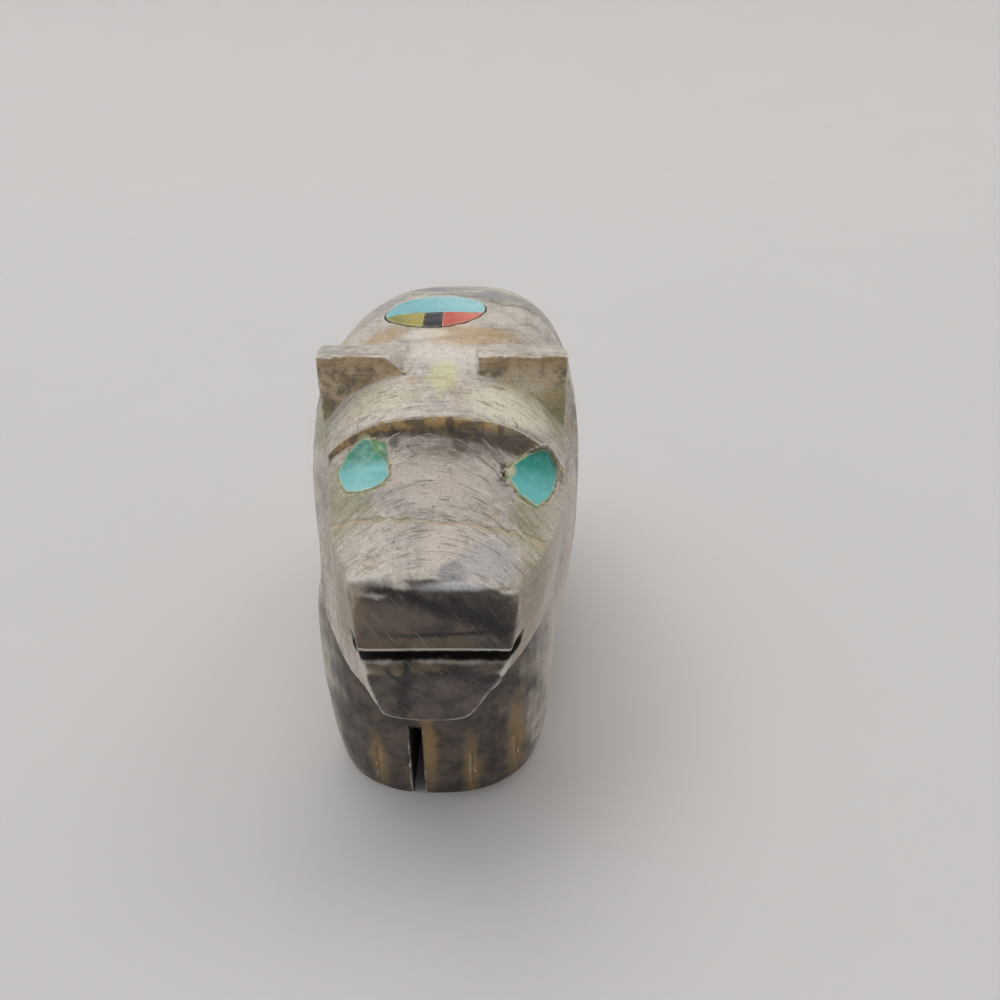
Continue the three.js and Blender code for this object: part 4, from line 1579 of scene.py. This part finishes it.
@dataclass
class GlueBead(Carving):
    """The bead of glue in the gap round an inlay.

    Attributes:
        inner: How far outside the inlay's packed outline the bead starts.
        outer: How far outside it the bead ends on the stone.
        joint: How far outside it the bead ends beside another inlay, or 0 where there is none.
        sunk: How far its inner edge lies under the inlay's top.
        thick: How thick it is.
        stone: The bear's finished surface.
        seat: The surface that the inlay was ground down to, if it was.
    """

    inner: float = 0.06
    outer: float = 0.36
    joint: float = 0.0
    sunk: float = 0.05
    thick: float = 0.3
    stone: BVHTree | None = None
    seat: Seat | None = None

    def copy(self) -> bmesh.types.BMesh:
        """Makes the bead's plain shape.

        Returns:
            A closed ring round the top of the inlay's solid.
        """
        solid = super().copy()
        bmesh.ops.dissolve_limit(solid, angle_limit=LIMIT_ANGLE, verts=solid.verts, edges=solid.edges)
        axis = setting_axis(solid)
        under = [face for face in solid.faces if face.normal.dot(axis) < 0.8]
        bmesh.ops.delete(solid, geom=under, context="FACES")
        for edge in [edge for edge in solid.edges if edge.is_boundary]:
            cuts = int(edge.calc_length() / (0.12 * MM))
            bmesh.ops.subdivide_edges(solid, edges=[edge], cuts=cuts)
        outward = {}
        for edge in solid.edges:
            if edge.is_boundary:
                loop = edge.link_loops[0]
                run = loop.link_loop_next.vert.co - loop.vert.co
                side = run.cross(axis).normalized()
                for vert in edge.verts:
                    outward[vert] = outward.get(vert, Vector()) + side
        bmesh.ops.delete(solid, geom=solid.faces[:], context="FACES_KEEP_BOUNDARY")
        made = bmesh.ops.extrude_edge_only(solid, edges=solid.edges[:])["geom"]
        for vert in [item for item in made if isinstance(item, bmesh.types.BMVert)]:
            old = next(e.other_vert(vert) for e in vert.link_edges if e.other_vert(vert) in outward)
            out = outward[old].normalized()
            if self.seat is not None:
                old.co = self.seat.onto(old.co)
            vert.co = self.landing(old.co, out, axis)
            old.co += (out * self.inner - axis * self.sunk) * MM
        for face in solid.faces:
            face.normal_update()
        down = [face for face in solid.faces if face.normal.dot(axis) < 0]
        bmesh.ops.reverse_faces(solid, faces=down)
        bmesh.ops.solidify(solid, geom=solid.faces[:], thickness=self.thick * MM)
        bmesh.ops.recalc_face_normals(solid, faces=solid.faces)
        return solid

    def landing(self, start: Vector, out: Vector, axis: Vector) -> Vector:
        """Finds where the bead's outer edge meets the stone, or stops in a joint.

        Args:
            start: A point of the inlay's outline.
            out: The direction away from the inlay.
            axis: The direction out of the bear.

        Returns:
            A point of the outer edge.
        """
        over = start + out * self.outer * MM
        hit = self.stone.ray_cast(over + axis * MM, -axis)[0]
        rise = (hit - over).dot(axis) / MM if hit is not None else -9.0
        if -0.4 < rise < 0.25:
            return hit + axis * 0.015 * MM
        if self.joint > 0:
            return start + (out * self.joint - axis * 0.12) * MM
        return over - axis * 0.12 * MM

    def relief(self, surface: Surface) -> None:
        """Makes the bead lumpy."""
        surface.push(0.03 * wander(surface.points, 0.5, 15) + 0.02 * wander(surface.points, 0.2, 16))


@dataclass(frozen=True)
class Crumb:
    """A small lump of glue or broken stone beside an inlay.

    Attributes:
        centre: Its middle, which is brought to the stone's surface.
        radii: Its half sizes across, along and out of the surface.
        part: Which of the inlay's finishes it has.
    """

    centre: Triple
    radii: Triple
    part: Part = Part.GLUE

    def add_to(self, shape: bmesh.types.BMesh, seat: Seat, stone: BVHTree) -> None:
        """Adds the crumb to a mesh.

        Args:
            shape: The inlay's mesh.
            seat: The surface that the inlay was ground down to.
            stone: The bear's finished surface.
        """
        count = len(shape.faces)
        across, along, out = (Vector(row) for row in seat.turn)
        place = Vector(self.centre) * MM
        hit = stone.ray_cast(place + out * MM, -out, 2 * MM)[0]
        place = hit if hit is not None else seat.onto(place)
        made = bmesh.ops.create_icosphere(shape, subdivisions=3, radius=1.0)["verts"]
        points = np.array([vert.co for vert in made])
        bumps = 1 + 0.25 * wander(points * 2 + self.centre, 1.0, 21)
        for vert, bump in zip(made, bumps):
            u, v, w = (part * size * float(bump) for part, size in zip(vert.co, self.radii))
            vert.co = place + (across * u + along * v + out * w) * MM
        shape.faces.ensure_lookup_table()
        for face in shape.faces[count:]:
            face.material_index = self.part.value


@dataclass(frozen=True)
class Chip:
    """A flat broken bit of an inlay's own stone beside it.

    Attributes:
        corners: Its outline, which is brought to the surface that the inlay was ground down to.
        proud: How far its top stands over that surface.
        thick: How far it reaches into the bear.
    """

    corners: tuple[Triple, ...]
    proud: float = 0.06
    thick: float = 0.5

    def add_to(self, shape: bmesh.types.BMesh, seat: Seat, stone: BVHTree) -> None:
        """Adds the chip to a mesh.

        Args:
            shape: The inlay's mesh.
            seat: The surface that the inlay was ground down to.
            stone: The bear's finished surface, which only a crumb needs.
        """
        out = Vector(seat.turn[2])
        count = len(self.corners)
        made = bmesh.ops.create_circle(shape, cap_ends=True, segments=count, radius=MM)["verts"]
        for vert, corner in zip(made, self.corners):
            vert.co = seat.onto(Vector(corner) * MM) + out * self.proud * MM
        face = made[0].link_faces[0]
        face.normal_update()
        if face.normal.dot(out) < 0:
            bmesh.ops.reverse_faces(shape, faces=[face])
        bmesh.ops.solidify(shape, geom=[face], thickness=self.thick * MM)
        faces = list(dict.fromkeys(face for vert in made for face in vert.link_faces))
        bmesh.ops.recalc_face_normals(shape, faces=faces)


@dataclass
class Inlay(Carving):
    """A stone set into the bear: it almost fills its socket, and a bead of glue fills the rest.

    Attributes:
        grow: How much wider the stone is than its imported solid, all round.
        outer: How far the bead of glue reaches over the stone.
        joint: How far it reaches towards a neighbouring inlay.
        proud: How far it stands over the surface that it was ground down to.
        reaches: How far from its middle that surface is read, or none where it keeps its own top.
        crumbs: The lumps and chips beside it.
        seat: The surface that it was ground down to.
    """

    grow: float = 0.12
    outer: float = 0.36
    joint: float = 0.0
    proud: float = 0.04
    reaches: tuple[float, ...] = ()
    crumbs: tuple[Crumb | Chip, ...] = ()
    seat: Seat | None = None

    def copy(self) -> bmesh.types.BMesh:
        """Copies the solid.

        Returns:
            The copy, grown sideways into its socket.
        """
        solid = super().copy()
        bmesh.ops.dissolve_limit(solid, angle_limit=LIMIT_ANGLE, verts=solid.verts, edges=solid.edges)
        axis = setting_axis(solid)
        for vert in solid.verts:
            out = Vector()
            for face in vert.link_faces:
                if abs(face.normal.dot(axis)) < 0.5:
                    out += face.normal
            out -= axis * out.dot(axis)
            if out.length > 0:
                out.normalize()
                walls = [face for face in vert.link_faces if abs(face.normal.dot(axis)) < 0.5]
                share = max(out.dot(face.normal) for face in walls)
                vert.co += out * (self.grow * MM / max(share, 0.5))
        return solid

    def relief(self, surface: Surface) -> None:
        """Grinds the top down to its seat, and gives it hand polishing's unevenness.

        Args:
            surface: The inlay's surface, which is changed.
        """
        if self.seat is not None:
            own, wanted = self.seat.heights(surface.points)
            move = step(own, -1.6, -0.1) * (wanted + self.proud)
            surface.points += move[:, None] * self.seat.turn[2]
            surface.write()
            surface.read()
        points = surface.points
        surface.push(0.03 * wander(points, 1.4, 11) + 0.012 * wander(points, 0.4, 12))

    def masks(self, surface: Surface) -> None:
        """Marks the rim, where glue and stone dust show pale."""
        bend = surface.spread(surface.convexity(), 3)
        surface.mark(Mask.WORN_EDGE_AND_HIGHLIGHT, step(bend, 0.3, 1.2))

    def build(self, finish: Any, glue: Any, stone: BVHTree) -> bpy.types.Object:
        """Makes the inlay with its glue.

        Args:
            finish: The inlay stone's finish.
            glue: The glue's finish.
            stone: The bear's finished surface.

        Returns:
            The piece.
        """
        if self.reaches:
            solid = super().copy()
            self.seat = Seat.around(solid, stone, self.reaches)
            solid.free()
        bead = GlueBead(
            self.node,
            self.name,
            self.slot,
            voxel=0.05,
            smoothing=2,
            triangles=16000,
            outer=self.outer,
            joint=self.joint,
            stone=stone,
            seat=self.seat,
        )
        whole = bmesh.new()
        for part, mesh in ((Part.STONE, self.shape()), (Part.GLUE, bead.shape())):
            count = len(whole.faces)
            whole.from_mesh(mesh)
            bpy.data.meshes.remove(mesh)
            whole.faces.ensure_lookup_table()
            for face in whole.faces[count:]:
                face.material_index = part.value
        for crumb in self.crumbs:
            crumb.add_to(whole, self.seat, stone)
        mesh = bpy.data.meshes.new(self.name)
        whole.to_mesh(mesh)
        whole.free()
        return self.dress(mesh, [finish, glue])


# Studio


@dataclass
class Studio:
    """Floor, soft lights and the camera of the photograph.

    Attributes:
        camera_at: Where the camera is.
        pitch: How many degrees it looks down.
        lens: Its focal length.
        sensor: The width of its sensor.
        look_at: What the lights look at.
        flat: The radius of the floor's flat part.
        sweep: The radius of the bend round it.
        rim: The height where the rim ends.
    """

    camera_at: Triple = (5.65, NOSE_Y - 48.5, 63.0)
    pitch: float = 28.0
    lens: float = 27.0
    sensor: float = 36
    look_at: Triple = (0, 0, 20)
    flat: float = 700.0
    sweep: float = 700.0
    rim: float = 1000.0

    def floor(self) -> None:
        """Builds a round floor whose rim sweeps up far away."""
        shape = bmesh.new()
        points = [(0.0, 0.0), (self.flat, 0.0)]
        for turn in range(1, 16):
            angle = math.radians(turn * 6)
            points.append((self.flat + self.sweep * math.sin(angle), self.sweep * (1 - math.cos(angle))))
        points.append((self.flat + self.sweep, self.rim))
        verts = [shape.verts.new((out * MM, 0, up * MM)) for out, up in points]
        edges = [shape.edges.new(pair) for pair in zip(verts, verts[1:])]
        bmesh.ops.spin(
            shape,
            geom=verts + edges,
            cent=(0, 0, 0),
            axis=(0, 0, 1),
            angle=2 * math.pi,
            steps=64,
            use_merge=True,
        )
        bmesh.ops.remove_doubles(shape, verts=shape.verts, dist=0.01 * MM)
        bmesh.ops.recalc_face_normals(shape, faces=shape.faces)
        mesh = bpy.data.meshes.new("floor")
        shape.to_mesh(mesh)
        shape.free()
        mesh.shade_smooth()
        mesh.materials.append(FloorFinish().material())
        show(mesh, "floor")

    def light(self, name: str, at: Triple, size: float, power: float, tint: Tint) -> None:
        """Adds a square soft light that looks at the bear.

        Args:
            name: What it is called.
            at: Where it hangs.
            size: Its width.
            power: Its power in watts.
            tint: Its colour.
        """
        data = bpy.data.lights.new(name, "AREA")
        data.size = size * MM
        data.energy = power
        data.color = tint.linear[:3]
        lamp = bpy.data.objects.new(name, data)
        lamp.location = Vector(at) * MM
        lamp.rotation_euler = (Vector(self.look_at) - Vector(at)).to_track_quat("-Z", "Y").to_euler()
        bpy.context.scene.collection.objects.link(lamp)

    def build(self) -> None:
        """Sets the floor, the lights, the sky and the camera."""
        self.floor()
        self.light("overhead", (-350, 760, 2400), 1800, 27, Tint(255, 253, 250))
        self.light("left fill", (-1100, -300, 1900), 1000, 7, Tint(250, 252, 255))
        self.light("right back", (1100, 700, 1900), 1000, 7, Tint(255, 252, 248))
        world = bpy.data.worlds.new("Soft sky")
        bpy.context.scene.world = world
        world.use_nodes = True
        sky = world.node_tree.nodes["Background"]
        Graph(world.node_tree).fill(sky, {"Color": Tint(240, 242, 245), "Strength": 0.36})
        data = bpy.data.cameras.new("camera")
        data.lens = self.lens
        data.sensor_width = self.sensor
        data.clip_start = MM
        camera = bpy.data.objects.new("camera", data)
        camera.location = Vector(self.camera_at) * MM
        camera.rotation_euler = (math.radians(90 - self.pitch), 0, 0)
        bpy.context.scene.collection.objects.link(camera)
        bpy.context.scene.camera = camera
        bpy.context.scene.view_settings.view_transform = "Standard"


# The inlays' finishes, glue and crumbs

LEFT_EYE = InlayStone(
    "Turquoise, left eye",
    deep=Tint(72, 142, 116),
    pale=Tint(132, 204, 202),
    matrix=Tint(160, 210, 200),
    rim=Tint(220, 216, 190),
    toward=(0.1, -0.6, -0.75),
    middle=(-5.8, -23.9, 35.9),
    spread=0.9,
    matrix_strength=0.4,
    patches=(Patch((-4.4, -22.8, 37.2), (0.9, 0.9, 0.9), Tint(106, 156, 100), 0.75, 1.6),),
)
RIGHT_EYE = InlayStone(
    "Turquoise, right eye",
    deep=Tint(40, 144, 128),
    pale=Tint(116, 200, 198),
    matrix=Tint(90, 150, 130),
    rim=Tint(220, 214, 176),
    toward=(0.0, -0.6, -0.75),
    middle=(8.6, -23.3, 34.3),
    spread=1.4,
    matrix_strength=0.3,
    patches=(Patch((6.55, -23.9, 35.3), (0.5, 0.5, 0.6), Tint(206, 200, 168), 0.9, 1.9, 0.4),),
)
BACK_TURQUOISE = InlayStone(
    "Turquoise, back",
    deep=Tint(104, 186, 196),
    pale=Tint(150, 214, 220),
    matrix=Tint(96, 110, 92),
    rim=Tint(190, 222, 220),
    toward=(1.0, 0.3, 0.0),
    middle=(-0.8, -4.0, 44.5),
    spread=3.0,
)
BACK_JET = InlayStone(
    "Jet, back",
    deep=Tint(22, 22, 25),
    pale=Tint(40, 40, 44),
    matrix=Tint(70, 70, 70),
    rim=Tint(92, 92, 94),
    roughness=0.18,
)
BACK_GREEN = InlayStone(
    "Olive stone, back",
    deep=Tint(128, 132, 52),
    pale=Tint(176, 164, 78),
    matrix=Tint(84, 78, 40),
    rim=Tint(196, 190, 120),
    toward=(1.0, 0.4, 0.0),
    middle=(-3.6, -9.0, 44.4),
)
BACK_CORAL = InlayStone(
    "Coral, back",
    deep=Tint(198, 80, 62),
    pale=Tint(220, 118, 96),
    matrix=Tint(226, 168, 140),
    rim=Tint(232, 170, 150),
    toward=(1.0, 0.2, 0.0),
    middle=(2.0, -9.0, 44.4),
)


EYE_GLUE = GlueFinish("Pale glue", Tint(188, 182, 150), Tint(150, 150, 116))
BACK_GLUE = GlueFinish("Dusty glue", Tint(150, 140, 122), Tint(182, 172, 152))
BACK = (
    ("back_inlay_turquoise", "back_turquoise", "turquoise", BACK_TURQUOISE),
    ("back_inlay_jet", "back_jet_bar", "jet", BACK_JET),
    ("back_inlay_green", "back_olive_stone", "green_stone", BACK_GREEN),
    ("back_inlay_coral", "back_coral", "coral", BACK_CORAL),
)
EYE_REACHES = (3.0, 3.3, 3.6)
LEFT_CRUMBS = (
    Crumb((-5.1, -22.5, 37.6), (0.3, 0.16, 0.1)),
    Crumb((-3.6, -24.3, 36.0), (0.26, 0.1, 0.06)),
)
LEFT_CHIPS = (
    Chip(((-5.3, -22.63, 37.64), (-4.07, -22.87, 37.38), (-3.87, -23.69, 36.66), (-3.85, -24.14, 36.1))),
)
RIGHT_CRUMBS = (
    Crumb((6.4, -23.5, 35.7), (0.26, 0.2, 0.12)),
    Crumb((5.8, -23.5, 35.8), (0.2, 0.12, 0.08)),
    Crumb((6.1, -24.4, 34.9), (0.12, 0.16, 0.1)),
    Crumb((9.3, -25.1, 32.9), (0.26, 0.16, 0.1)),
)
EYES = (
    ("left_eye_inlay", "left_eye_turquoise", LEFT_EYE, LEFT_CRUMBS + LEFT_CHIPS),
    ("right_eye_inlay", "right_eye_turquoise", RIGHT_EYE, RIGHT_CRUMBS),
)


def main() -> None:
    """Builds the bear and its studio."""
    logging.basicConfig(level=logging.INFO, format="%(name)s %(message)s")
    Studio().build()
    carving = StoneBear(
        "stone_bear",
        "stone_bear_carving",
        "veined_stone",
        voxel=0.15,
        smoothing=4,
        triangles=194000,
    )
    bear = carving.build(VeinedStone())
    stone = BVHTree.FromObject(bear, bpy.context.evaluated_depsgraph_get())
    for node, name, finish, crumbs in EYES:
        eye = Inlay(
            node,
            name,
            "turquoise",
            voxel=0.06,
            smoothing=3,
            triangles=16000,
            reaches=EYE_REACHES,
            crumbs=crumbs,
        )
        eye.build(finish, EYE_GLUE, stone)
    for node, name, slot, finish in BACK:
        inlay = Inlay(
            node,
            name,
            slot,
            voxel=0.06,
            smoothing=2,
            triangles=30000,
            grow=0.08,
            outer=0.24,
            joint=0.14,
        )
        inlay.build(finish, BACK_GLUE, stone)


if __name__ == "__main__":
    main()
